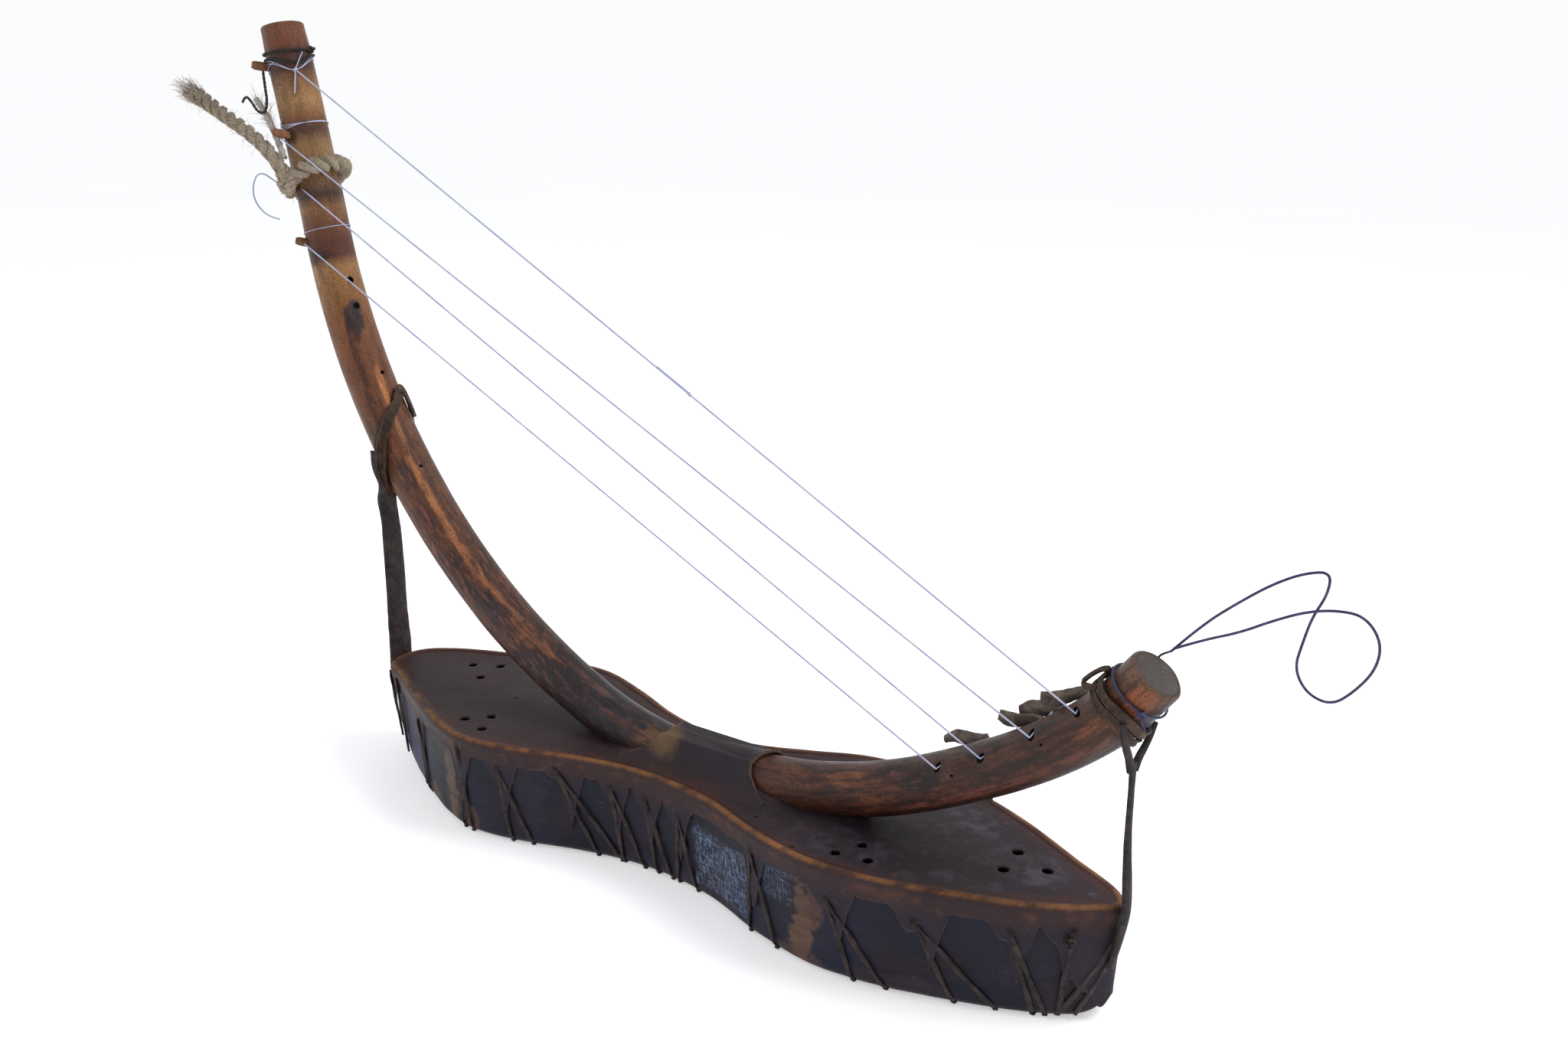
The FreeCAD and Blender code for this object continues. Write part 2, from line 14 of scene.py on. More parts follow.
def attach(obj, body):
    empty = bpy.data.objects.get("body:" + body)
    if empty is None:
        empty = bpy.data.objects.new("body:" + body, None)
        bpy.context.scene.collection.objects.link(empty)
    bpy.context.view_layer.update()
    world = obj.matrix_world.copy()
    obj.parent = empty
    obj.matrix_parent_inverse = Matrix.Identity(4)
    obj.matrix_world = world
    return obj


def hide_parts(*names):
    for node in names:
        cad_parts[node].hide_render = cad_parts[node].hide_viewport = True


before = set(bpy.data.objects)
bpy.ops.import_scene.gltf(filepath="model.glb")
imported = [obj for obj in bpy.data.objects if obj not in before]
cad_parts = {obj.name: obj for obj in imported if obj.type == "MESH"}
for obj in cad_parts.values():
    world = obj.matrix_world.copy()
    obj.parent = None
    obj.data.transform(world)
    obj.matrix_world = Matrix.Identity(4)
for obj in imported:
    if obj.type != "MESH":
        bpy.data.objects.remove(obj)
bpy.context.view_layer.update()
BODY = "harp"
MM = 0.001

# ------------------------------------------------------------------ camera, light, floor
CAMERA_AZIMUTH = math.radians(34.202)
CAMERA_ELEVATION = math.radians(17.619)
CAMERA_ROLL = math.radians(0.509)
CAMERA_TARGET = Vector((0.052, 0.0, 0.1964))
CAMERA_DISTANCE = 0.6766
CAMERA_LENS = 33.03


def add_object(name, data):
    """A new object in the scene."""
    made = bpy.data.objects.new(name, data)
    bpy.context.scene.collection.objects.link(made)
    return made


def add_camera():
    """Camera at the photograph's place, looking at CAMERA_TARGET."""
    sin_a, cos_a = math.sin(CAMERA_AZIMUTH), math.cos(CAMERA_AZIMUTH)
    sin_e, cos_e = math.sin(CAMERA_ELEVATION), math.cos(CAMERA_ELEVATION)
    back = Vector((sin_a * cos_e, -cos_a * cos_e, sin_e))
    right = Vector((cos_a, sin_a, 0))
    up = back.cross(right)
    rolled_right = right * math.cos(CAMERA_ROLL) + up * math.sin(CAMERA_ROLL)
    rolled_up = up * math.cos(CAMERA_ROLL) - right * math.sin(CAMERA_ROLL)
    data = bpy.data.cameras.new("camera")
    data.lens = CAMERA_LENS
    data.sensor_width = 36
    data.clip_start = 0.01
    camera = add_object("camera", data)
    turn = Matrix((rolled_right, rolled_up, back)).transposed().to_4x4()
    camera.matrix_world = Matrix.Translation(CAMERA_TARGET + back * CAMERA_DISTANCE) @ turn
    bpy.context.scene.camera = camera


def srgb(red, green, blue):
    """Linear colour of an 8-bit sRGB triple."""
    def linear(value):
        value /= 255
        return value / 12.92 if value <= 0.04045 else ((value + 0.055) / 1.055) ** 2.4
    return (linear(red), linear(green), linear(blue))


def add_light(name, place, power, colour=(1, 1, 1)):
    """A square lamp 0.8 m wide, aimed at the harp."""
    data = bpy.data.lights.new(name, "AREA")
    data.shape = "RECTANGLE"
    data.size = data.size_y = 0.8
    data.energy = power
    data.color = colour
    light = add_object(name, data)
    light.location = place
    light.rotation_euler = (Vector(LIGHTS_AIM) - Vector(place)).to_track_quat("-Z", "Y").to_euler()


HORIZON, OVERHEAD = (0.97, 0.97, 0.975, 1), (0.55, 0.56, 0.58, 1)
LIGHTS_AIM = (0.0, 0.0, 0.15)


def add_studio():
    """Soft light: a pale sky that darkens overhead and two broad lamps."""
    world = bpy.data.worlds.new("studio")
    bpy.context.scene.world = world
    world.use_nodes = True
    tree = world.node_tree
    place = tree.nodes.new("ShaderNodeTexCoord")
    parts = tree.nodes.new("ShaderNodeSeparateXYZ")
    ramp = tree.nodes.new("ShaderNodeValToRGB")
    for element, height, colour in zip(ramp.color_ramp.elements, (0.05, 0.6), (HORIZON, OVERHEAD)):
        element.position = height
        element.color = colour
    tree.links.new(place.outputs["Generated"], parts.inputs["Vector"])
    tree.links.new(parts.outputs["Z"], ramp.inputs["Fac"])
    tree.links.new(ramp.outputs["Color"], tree.nodes["Background"].inputs["Color"])
    bpy.context.scene.view_settings.view_transform = "Standard"
    add_light("key", (1.0, 0.5, 1.5), 16)
    add_light("left", (-1.4, -0.9, 0.8), 4, (0.85, 0.92, 1.0))


# ------------------------------------------------------------------ shared shape helpers
def spline(points, count):
    """Points of a smooth curve through given points, evenly spaced along it."""
    nodes = [np.array(p, float) for p in points]
    nodes = [2 * nodes[0] - nodes[1]] + nodes + [2 * nodes[-1] - nodes[-2]]
    dense = []
    for a, b, c, d in zip(nodes[:-3], nodes[1:-2], nodes[2:-1], nodes[3:]):
        for share in np.linspace(0, 1, 24, endpoint=False):
            dense.append(catmull(a, b, c, d, share))
    dense.append(nodes[-2])
    return resample(np.array(dense), count)


def catmull(a, b, c, d, share):
    """Centripetal Catmull-Rom point between b and c."""
    t0 = 0.0
    t1 = t0 + max(np.linalg.norm(b[:3] - a[:3]), 1e-9) ** 0.5
    t2 = t1 + max(np.linalg.norm(c[:3] - b[:3]), 1e-9) ** 0.5
    t3 = t2 + max(np.linalg.norm(d[:3] - c[:3]), 1e-9) ** 0.5
    t = t1 + share * (t2 - t1)
    ab = (t1 - t) / (t1 - t0) * a + (t - t0) / (t1 - t0) * b
    bc = (t2 - t) / (t2 - t1) * b + (t - t1) / (t2 - t1) * c
    cd = (t3 - t) / (t3 - t2) * c + (t - t2) / (t3 - t2) * d
    abc = (t2 - t) / (t2 - t0) * ab + (t - t0) / (t2 - t0) * bc
    bcd = (t3 - t) / (t3 - t1) * bc + (t - t1) / (t3 - t1) * cd
    return (t2 - t) / (t2 - t1) * abc + (t - t1) / (t2 - t1) * bcd


def unit(vectors):
    """Vectors of length 1 in the same directions."""
    return vectors / np.linalg.norm(vectors, axis=-1, keepdims=True)


def interpolate(where, stations, rows):
    """Linear interpolation of rows of numbers given at stations."""
    return np.stack([np.interp(where, stations, column) for column in np.transpose(rows)], 1)


def lengths_along(line):
    """Distance along a line at each of its points."""
    steps = np.linalg.norm(np.diff(line[:, :3], axis=0), axis=1)
    return np.concatenate([[0], np.cumsum(steps)])


def resample(line, count):
    """A count of points evenly spaced along a line."""
    along = lengths_along(line)
    return interpolate(np.linspace(0, along[-1], count), along, line)


def wobble(points, scale, seed=0.0):
    """Smooth noise from -1 to 1 at each point."""
    shift = Vector((seed, seed * 1.7, seed * 0.6))
    return np.array([noise.noise(Vector(p) * scale + shift) for p in points])


def octaves(points, *layers):
    """Sum of layers of smooth noise, each (scale, seed, strength)."""
    return sum(wobble(points, scale, seed) * strength for scale, seed, strength in layers)


def smoothstep(low, high, value):
    """0 below low, 1 above high and a smooth step between; low may be the greater one."""
    share = np.clip((np.asarray(value, float) - low) / (high - low), 0, 1)
    return share * share * (3 - 2 * share)


def mesh_object(name, vertices, faces, material, body=BODY):
    """A smooth mesh that rides on a body."""
    data = bpy.data.meshes.new(name)
    data.from_pydata([tuple(v) for v in vertices], [], faces)
    data.validate()
    data.shade_smooth()
    made = add_object(name, data)
    data.materials.append(material)
    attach(made, body)
    return made


def grid_faces(rows, columns, wrap=False):
    """Quads of a grid of vertices stored row by row; wrap closes each row."""
    faces = []
    last = columns if wrap else columns - 1
    for row in range(rows - 1):
        for column in range(last):
            after = (column + 1) % columns
            faces.append((row * columns + column, row * columns + after,
                          (row + 1) * columns + after, (row + 1) * columns + column))
    return faces


def tube_faces(rows, columns):
    """Faces of a tube of rings stored one after another, closed at both ends."""
    last = (rows - 1) * columns
    return grid_faces(rows, columns, wrap=True) + [tuple(range(columns))[::-1],
                                                   tuple(range(last, last + columns))]


def flipped(faces):
    """The same faces, seen from their other side."""
    return [tuple(face)[::-1] for face in faces]


def set_uv(made, uv):
    """Texture coordinates of each vertex."""
    layer = made.data.uv_layers.new(name="UVMap")
    loops = np.zeros(len(made.data.loops), int)
    made.data.loops.foreach_get("vertex_index", loops)
    layer.data.foreach_set("uv", np.asarray(uv, np.float32)[loops].ravel())


def set_tint(made, colours):
    """Broad colour of each vertex, which the materials read as the attribute tint."""
    layer = made.data.color_attributes.new("tint", "FLOAT_COLOR", "POINT")
    colours = np.clip(np.asarray(colours, np.float32), 0, 1)
    full = np.concatenate([colours, np.ones((len(colours), 1), np.float32)], 1)
    layer.data.foreach_set("color", full.ravel())


def mix(first, second, share):
    """Blend two colours, or arrays of them, by a share for each vertex."""
    share = np.asarray(share, float)[..., None]
    return np.asarray(first, float) * (1 - share) + np.asarray(second, float) * share


def frames_along(line):
    """Tangent and two normals at each point, turning as little as possible."""
    tangents = unit(np.gradient(line, axis=0))
    start = np.array([0, 0, 1.0]) if abs(tangents[0][2]) < 0.9 else np.array([0, 1.0, 0])
    side = np.cross(tangents[0], start)
    sides = []
    for tangent in tangents:
        side = unit(side - tangent * (side @ tangent))
        sides.append(side)
    sides = np.array(sides)
    return tangents, sides, np.cross(tangents, sides)


def tube_arrays(line, radii, sides=8):
    """Vertices and faces of a capped tube."""
    _, first, second = frames_along(line)
    radii = np.broadcast_to(radii, len(line))
    angles = np.linspace(0, 2 * math.pi, sides, endpoint=False)
    rings = [p + r * (np.cos(angles)[:, None] * a + np.sin(angles)[:, None] * b)
             for p, r, a, b in zip(line, radii, first, second)]
    return np.concatenate(rings), tube_faces(len(line), sides)


def merge_arrays(parts):
    """One pair of vertices and faces from several."""
    vertices, faces, offset = [], [], 0
    for part_vertices, part_faces in parts:
        vertices.append(part_vertices)
        faces += [tuple(i + offset for i in face) for face in part_faces]
        offset += len(part_vertices)
    return np.concatenate(vertices), faces


# ------------------------------------------------------------------ materials
class Paint:
    """Small builder for one procedural material. Object coordinates are metres of the row frame."""

    def __init__(self, name, slot):
        self.name = name
        self.material = bpy.data.materials.new(name)
        self.material.use_nodes = True
        self.slot = slot
        self.tree = self.material.node_tree
        self.surface = self.tree.nodes["Principled BSDF"]
        self.place = self.tree.nodes.new("ShaderNodeTexCoord")

    def add(self, kind, **settings):
        made = self.tree.nodes.new(kind)
        for key, value in settings.items():
            setattr(made, key, value)
        return made

    def link(self, source, target):
        self.tree.links.new(source, target)

    def coordinates(self, stretch=(1, 1, 1), which="Object"):
        """Texture coordinates, scaled along each axis."""
        mapping = self.add("ShaderNodeMapping")
        mapping.inputs["Scale"].default_value = stretch
        self.link(self.place.outputs[which], mapping.inputs["Vector"])
        return mapping.outputs["Vector"]

    def noise(self, scale, detail=6.0, roughness=0.6, distortion=0.0, stretch=(1, 1, 1),
              which="Object"):
        made = self.add("ShaderNodeTexNoise")
        made.inputs["Scale"].default_value = scale
        made.inputs["Detail"].default_value = detail
        made.inputs["Roughness"].default_value = roughness
        made.inputs["Distortion"].default_value = distortion
        self.link(self.coordinates(stretch, which), made.inputs["Vector"])
        return made.outputs["Fac"]

    def cells(self, scale, stretch=(1, 1, 1)):
        made = self.add("ShaderNodeTexVoronoi")
        made.inputs["Scale"].default_value = scale
        self.link(self.coordinates(stretch), made.inputs["Vector"])
        return made.outputs["Distance"]

    def ramp(self, value, *stops):
        """Stops are (place, grey or colour)."""
        made = self.add("ShaderNodeValToRGB")
        elements = made.color_ramp.elements
        while len(elements) < len(stops):
            elements.new(0.5)
        for element, (place, colour) in zip(elements, stops):
            element.position = place
            shade = (colour,) * 3 if isinstance(colour, (int, float)) else colour
            element.color = (*shade, 1)
        self.link(value, made.inputs["Fac"])
        return made.outputs["Color"]

    def blend(self, share, first, second, mode="MIX"):
        """Mix two colours; each value is a number, a colour or a socket."""
        made = self.add("ShaderNodeMix", data_type="RGBA", blend_type=mode)
        for value, index in ((share, 0), (first, 6), (second, 7)):
            self.put(value, made.inputs[index])
        return made.outputs[2]

    def shade(self, colour, value, *stops, share=1.0):
        """Multiply a colour by a ramp of greys."""
        return self.blend(share, colour, self.ramp(value, *stops), "MULTIPLY")

    def stain(self, colour, value, low, high, strength, stain_colour):
        """Cover a colour with another where a value is high."""
        return self.blend(self.ramp(value, (low, 0.0), (high, strength)), colour, stain_colour)

    def put(self, value, socket):
        if isinstance(value, bpy.types.NodeSocket):
            self.link(value, socket)
        elif isinstance(value, (int, float)):
            socket.default_value = value
        else:
            socket.default_value = (*value, 1)

    def tint(self):
        """The mesh's own broad colour."""
        return self.add("ShaderNodeAttribute", attribute_name="tint").outputs["Color"]

    def finish(self, colour, roughness, bumps=(), specular=0.4, **sockets):
        """Bumps are (height value, distance in metres)."""
        self.put(colour, self.surface.inputs["Base Color"])
        self.put(roughness, self.surface.inputs["Roughness"])
        self.put(specular, self.surface.inputs["Specular IOR Level"])
        for name, value in sockets.items():
            self.put(value, self.surface.inputs[name.replace("_", " ")])
        last = None
        for height, distance in bumps:
            bump = self.add("ShaderNodeBump")
            bump.inputs["Distance"].default_value = distance
            bump.inputs["Strength"].default_value = 1.0
            self.link(height, bump.inputs["Height"])
            if last:
                self.link(last, bump.inputs["Normal"])
            last = bump.outputs["Normal"]
        if last:
            self.link(last, self.surface.inputs["Normal"])
        return self


def bow_wood():
    """Polished wood: the mesh's broad tint, long grain streaks, dark pores and worn spots."""
    paint = Paint("bow_wood", "bow_wood")
    streaks = paint.noise(1.0, 8, 0.65, 0.4, (60, 900, 1), "UV")
    broad = paint.noise(1.0, 5, 0.6, 0.8, (14, 60, 1), "UV")
    pores = paint.noise(1.0, 4, 0.7, 0.2, (300, 1500, 1), "UV")
    stains = paint.noise(70, 7, 0.65, 1.2)
    colour = paint.tint()
    colour = paint.shade(colour, streaks, (0.32, 0.5), (0.5, 0.98), (0.68, 1.22))
    colour = paint.shade(colour, broad, (0.3, 0.66), (0.55, 0.98), (0.75, 1.18))
    colour = paint.shade(colour, pores, (0.36, 0.35), (0.44, 1.0), share=0.8)
    colour = paint.stain(colour, stains, 0.6, 0.7, 0.7, srgb(40, 25, 23))
    roughness = paint.ramp(broad, (0.3, 0.5), (0.7, 0.28))
    return paint.finish(colour, roughness, ((streaks, 0.0003), (pores, 0.0002)), 0.3)


def cut_wood(name, slot, light, dark, roughness=0.75):
    """Plain whittled or sawn wood."""
    paint = Paint(name, slot)
    grain = paint.noise(500, 6, 0.65, 0.5, (1, 1, 0.35))
    dirt = paint.noise(140, 5, 0.6)
    colour = paint.ramp(grain, (0.3, dark), (0.7, light))
    colour = paint.stain(colour, dirt, 0.5, 0.68, 0.7, dark)
    return paint.finish(colour, roughness, ((grain, 0.0003), (dirt, 0.0004)), 0.25)


CHALK = srgb(118, 138, 170)


def box_paint():
    """Navy paint over wood: worn brown patches and pale scratches come from the tint."""
    paint = Paint("soundbox_paint", "soundbox_wood")
    grain = paint.noise(60, 8, 0.65, 0.6, (1, 1, 5))
    blotch = paint.noise(28, 7, 0.62, 0.8)
    fine = paint.noise(900, 4, 0.7)
    chips = paint.noise(160, 8, 0.7, 0.4)
    colour = paint.tint()
    colour = paint.shade(colour, blotch, (0.3, 0.6), (0.5, 1.0), (0.72, 1.35))
    colour = paint.shade(colour, grain, (0.3, 0.75), (0.7, 1.2))
    colour = paint.stain(colour, chips, 0.66, 0.7, 0.6, srgb(104, 74, 56))
    across = paint.noise(150, 5, 0.7, 0.2, (1, 1, 16))
    upright = paint.noise(150, 5, 0.7, 0.2, (16, 16, 1))
    lines = paint.blend(1.0, paint.ramp(across, (0.55, 0.0), (0.63, 0.9)),
                        paint.ramp(upright, (0.54, 0.0), (0.62, 1.0)), "SCREEN")
    chalk = paint.add("ShaderNodeAttribute", attribute_name="chalk").outputs["Fac"]
    colour = paint.blend(paint.blend(1.0, lines, chalk, "MULTIPLY"), colour, CHALK)
    roughness = paint.ramp(blotch, (0.3, 0.42), (0.7, 0.6))
    return paint.finish(colour, roughness, ((grain, 0.0004), (fine, 0.0001), (chips, 0.0003)), 0.16)


def hide_skin():
    """Dark oiled rawhide with a fine grain, pale dust and rubbed edges."""
    paint = Paint("hide", "hide")
    grain = paint.noise(1400, 5, 0.7)
    creases = paint.cells(900)
    cloud = paint.noise(22, 7, 0.62, 0.7)
    dust = paint.noise(420, 7, 0.75)
    rub = paint.noise(90, 8, 0.7, 0.5)
    colour = paint.tint()
    colour = paint.shade(colour, cloud, (0.3, 0.72), (0.52, 1.0), (0.75, 1.4))
    colour = paint.stain(colour, rub, 0.58, 0.72, 0.3, srgb(112, 76, 56))
    colour = paint.stain(colour, dust, 0.62, 0.74, 0.3, srgb(150, 136, 132))
    roughness = paint.ramp(cloud, (0.3, 0.42), (0.7, 0.6))
    return paint.finish(colour, roughness, ((grain, 0.0003), (creases, 0.0002), (rub, 0.0003)), 0.18)


def leather(name, slot, dark, light, roughness=0.6):
    """Worn leather: darker and lighter clouds, fine grain and creases."""
    paint = Paint(name, slot)
    grain = paint.noise(900, 5, 0.7)
    wear = paint.noise(150, 8, 0.7, 0.8)
    creases = paint.cells(600, (1, 1, 0.5))
    colour = paint.ramp(wear, (0.34, dark), (0.52, mix(dark, light, 0.4)), (0.7, light))
    return paint.finish(colour, roughness, ((grain, 0.0003), (creases, 0.0003), (wear, 0.0005)), 0.18)


def fibre(name, slot, dark, light, roughness=0.85):
    """Jute or cord: fine strands with soiled places."""
    paint = Paint(name, slot)
    strands = paint.noise(1600, 6, 0.7, 0.6)
    soil = paint.noise(260, 6, 0.65)
    colour = paint.ramp(strands, (0.3, dark), (0.62, light))
    colour = paint.stain(colour, soil, 0.52, 0.72, 0.55, dark)
    return paint.finish(colour, roughness, ((strands, 0.0004),), 0.2)


def wire_metal():
    """Dull blue-black wire with rubbed places."""
    paint = Paint("wire_metal", "wire")
    tarnish = paint.noise(260, 6, 0.65, 0.5)
    colour = paint.ramp(tarnish, (0.35, srgb(34, 32, 62)), (0.6, srgb(56, 56, 96)),
                        (0.78, srgb(120, 110, 112)))
    return paint.finish(colour, 0.45, ((tarnish, 0.0002),), 0.5, Metallic=0.25)


def string_line():
    """Pale bluish line with rubbed places."""
    paint = Paint("string_line", "string")
    wear = paint.noise(90, 5, 0.6)
    colour = paint.ramp(wear, (0.35, srgb(150, 155, 190)), (0.6, srgb(178, 181, 203)),
                        (0.8, srgb(196, 196, 202)))
    return paint.finish(colour, 0.4, ((wear, 0.0001),), 0.4)


def cavity():
    """Unlit wood inside the holes."""
    paint = Paint("cavity", "bow_wood")
    dirt = paint.noise(300, 4)
    return paint.finish(paint.ramp(dirt, (0.3, srgb(14, 10, 10)), (0.7, srgb(34, 24, 20))), 0.9, (), 0.1)


def paper_floor():
    """Bright paper that glows a little, so that it stays near white."""
    paint = Paint("paper_floor", "")
    cloud = paint.noise(2.0, 3)
    colour = paint.ramp(cloud, (0.3, (0.93, 0.93, 0.935)), (0.7, (0.95, 0.95, 0.955)))
    return paint.finish(colour, 0.85, (), 0.05, Emission_Color=(1, 1, 1), Emission_Strength=0.39)


PAINTS = {p.name: p for p in (
    bow_wood(), box_paint(), hide_skin(), wire_metal(), string_line(), cavity(), paper_floor(),
    cut_wood("peg_wood", "peg_wood", srgb(150, 106, 72), srgb(86, 56, 40)),
    cut_wood("end_grain", "bow_wood", srgb(126, 112, 98), srgb(84, 68, 56), 0.8),
    leather("strap_leather", "strap_leather", srgb(30, 27, 31), srgb(74, 64, 60)),
    leather("wrap_leather", "strap_leather", srgb(36, 28, 27), srgb(98, 76, 60)),
    leather("lace_leather", "lace_leather", srgb(28, 23, 27), srgb(72, 58, 54)),
    leather("toggle_leather", "toggle_leather", srgb(64, 55, 50), srgb(128, 114, 104), 0.8),
    fibre("jute", "jute", srgb(72, 60, 49), srgb(184, 169, 148)),
    fibre("jute_end", "jute", srgb(150, 138, 124), srgb(226, 220, 214)),
    fibre("black_cord", "black_cord", srgb(22, 20, 22), srgb(58, 54, 56), 0.6))}


def dressed(made, paint_name, *nodes):
    """Give a piece its material and the CAD nodes it stands for."""
    paint = PAINTS[paint_name]
    if not made.data.materials:
        made.data.materials.append(paint.material)
    if nodes:
        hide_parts(*nodes)
    return made


def piece(name, arrays, paint_name, *nodes, body=BODY):
    """A mesh with its material, body and CAD nodes."""
    vertices, faces = arrays
    made = mesh_object(name, vertices, faces, PAINTS[paint_name].material, body)
    return dressed(made, paint_name, *nodes)


# ------------------------------------------------------------------ the bow
# Stations down the neck and up the short arm: x, z, diameter in millimetres.
BOW = [(-284, 420, 24), (-278.8, 398, 24.2), (-274, 377, 24.4), (-265, 335, 24.8),
       (-255, 287, 25.4), (-239, 240, 26.4), (-214, 193, 27), (-180, 148.5, 27),
       (-139, 110.5, 27), (-96, 83, 26.6), (-55, 65.5, 26), (-15, 57.5, 25.6),
       (26, 57.8, 25.8), (69, 62.8, 26.4), (113, 76, 27), (156, 97, 27),
       (192.4, 119.6, 26.8), (217.9, 141.5, 26.6), (237, 166, 26)]
BOW_LINE = spline([(x * MM, 0.0, z * MM, d * MM / 2) for x, z, d in BOW], 3000)
BOW_ALONG = lengths_along(BOW_LINE)
BOW_LENGTH = BOW_ALONG[-1]
BOW_TANGENT = unit(np.gradient(BOW_LINE[:, :3], axis=0))


def bow_values(along):
    """Centre, tangent and radius at distances (m) from the neck's top."""
    along = np.atleast_1d(np.asarray(along, float))
    line = interpolate(along, BOW_ALONG, BOW_LINE)
    tangent = interpolate(along, BOW_ALONG, BOW_TANGENT)
    beyond = along - np.clip(along, 0, BOW_LENGTH)
    return line[:, :3] + tangent * beyond[:, None], tangent, line[:, 3]


def bow_directions(tangent, degrees):
    """Directions away from the bow's line at angles round it: 0 under, 90 front, 180 to the strings."""
    under = np.stack([tangent[:, 2], 0 * tangent[:, 1], -tangent[:, 0]], 1)
    angle = np.radians(degrees)[:, None]
    return np.cos(angle) * under + np.sin(angle) * np.array([0, -1.0, 0])


def turn_from(degrees, middle):
    """Signed angle from a middle angle, -180 to 180."""
    return (degrees - middle + 180) % 360 - 180


def on_bow(along_mm, degrees, lift_mm=0.0):
    """Points at arc lengths and angles round the bow, lifted off its surface."""
    along = np.atleast_1d(np.asarray(along_mm, float)) * MM
    degrees = np.broadcast_to(np.asarray(degrees, float), along.shape)
    lift = np.broadcast_to(np.asarray(lift_mm, float), along.shape)
    centre, tangent, radius = bow_values(along)
    return centre + bow_directions(tangent, degrees) * (radius + lift * MM)[:, None]


def ring_on_bow(height_mm, lean, lift_mm, start, count, neck=True):
    """One turn round the neck or arm at a height; lean is the tangent of its slope from square."""
    degrees = start + 360 * np.linspace(0, 1, count)
    half = BOW_ALONG < BOW_LENGTH / 2 if neck else BOW_ALONG >= BOW_LENGTH / 2
    nearest = np.argmin(np.where(half, abs(BOW_LINE[:, 2] - height_mm * MM), 9.0))
    radius = BOW_LINE[nearest, 3] / MM + lift_mm
    along = BOW_ALONG[nearest] / MM + lean * radius * np.cos(np.radians(degrees))
    return on_bow(along, degrees, lift_mm)


# Broad colour down the bow: arc length (mm), front or upper side, under side. The under side's column is
# darker with painted shade.
BOW_TONES = [(0, srgb(104, 62, 38), srgb(78, 46, 31)), (12, srgb(108, 58, 34), srgb(76, 42, 27)),
             (18, srgb(68, 37, 26), srgb(56, 30, 22)), (25, srgb(82, 46, 30), srgb(62, 34, 24)),
             (32, srgb(132, 92, 56), srgb(86, 54, 34)), (43, srgb(152, 114, 70), srgb(96, 62, 38)),
             (51, srgb(122, 77, 44), srgb(76, 46, 28)), (58, srgb(80, 45, 30), srgb(52, 30, 24)),
             (65, srgb(140, 104, 66), srgb(82, 54, 34)), (76, srgb(162, 126, 84), srgb(96, 66, 42)),
             (84, srgb(120, 84, 54), srgb(74, 46, 32)), (93, srgb(58, 36, 27), srgb(45, 28, 22)),
             (100, srgb(130, 90, 54), srgb(82, 52, 32)), (108, srgb(108, 65, 36), srgb(72, 42, 27)),
             (119, srgb(86, 43, 26), srgb(57, 30, 22)), (127, srgb(90, 44, 26), srgb(46, 24, 19)),
             (133, srgb(150, 108, 62), srgb(94, 61, 36)), (143, srgb(144, 100, 54), srgb(100, 66, 38)),
             (158, srgb(128, 78, 39), srgb(88, 51, 28)), (190, srgb(112, 65, 34), srgb(72, 40, 24)),
             (230, srgb(106, 62, 37), srgb(60, 33, 23)), (262, srgb(99, 57, 34), srgb(53, 30, 22)),
             (300, srgb(92, 53, 35), srgb(48, 29, 25)), (340, srgb(84, 48, 33), srgb(41, 27, 26)),
             (380, srgb(70, 42, 33), srgb(34, 25, 28)), (410, srgb(45, 34, 37), srgb(27, 22, 29)),
             (450, srgb(41, 35, 42), srgb(29, 22, 27)), (500, srgb(47, 36, 38), srgb(42, 26, 23)),
             (540, srgb(62, 41, 36), srgb(42, 26, 22)), (554, srgb(98, 61, 45), srgb(52, 30, 25)),
             (575, srgb(80, 46, 33), srgb(48, 27, 23)), (640, srgb(70, 39, 28), srgb(54, 29, 24)),
             (690, srgb(72, 41, 29), srgb(50, 28, 23)), (730, srgb(76, 43, 29), srgb(54, 30, 23)),
             (752, srgb(92, 54, 33), srgb(54, 32, 24)), (770, srgb(88, 55, 37), srgb(55, 35, 28)),
             (800, srgb(82, 57, 43), srgb(57, 40, 32))]
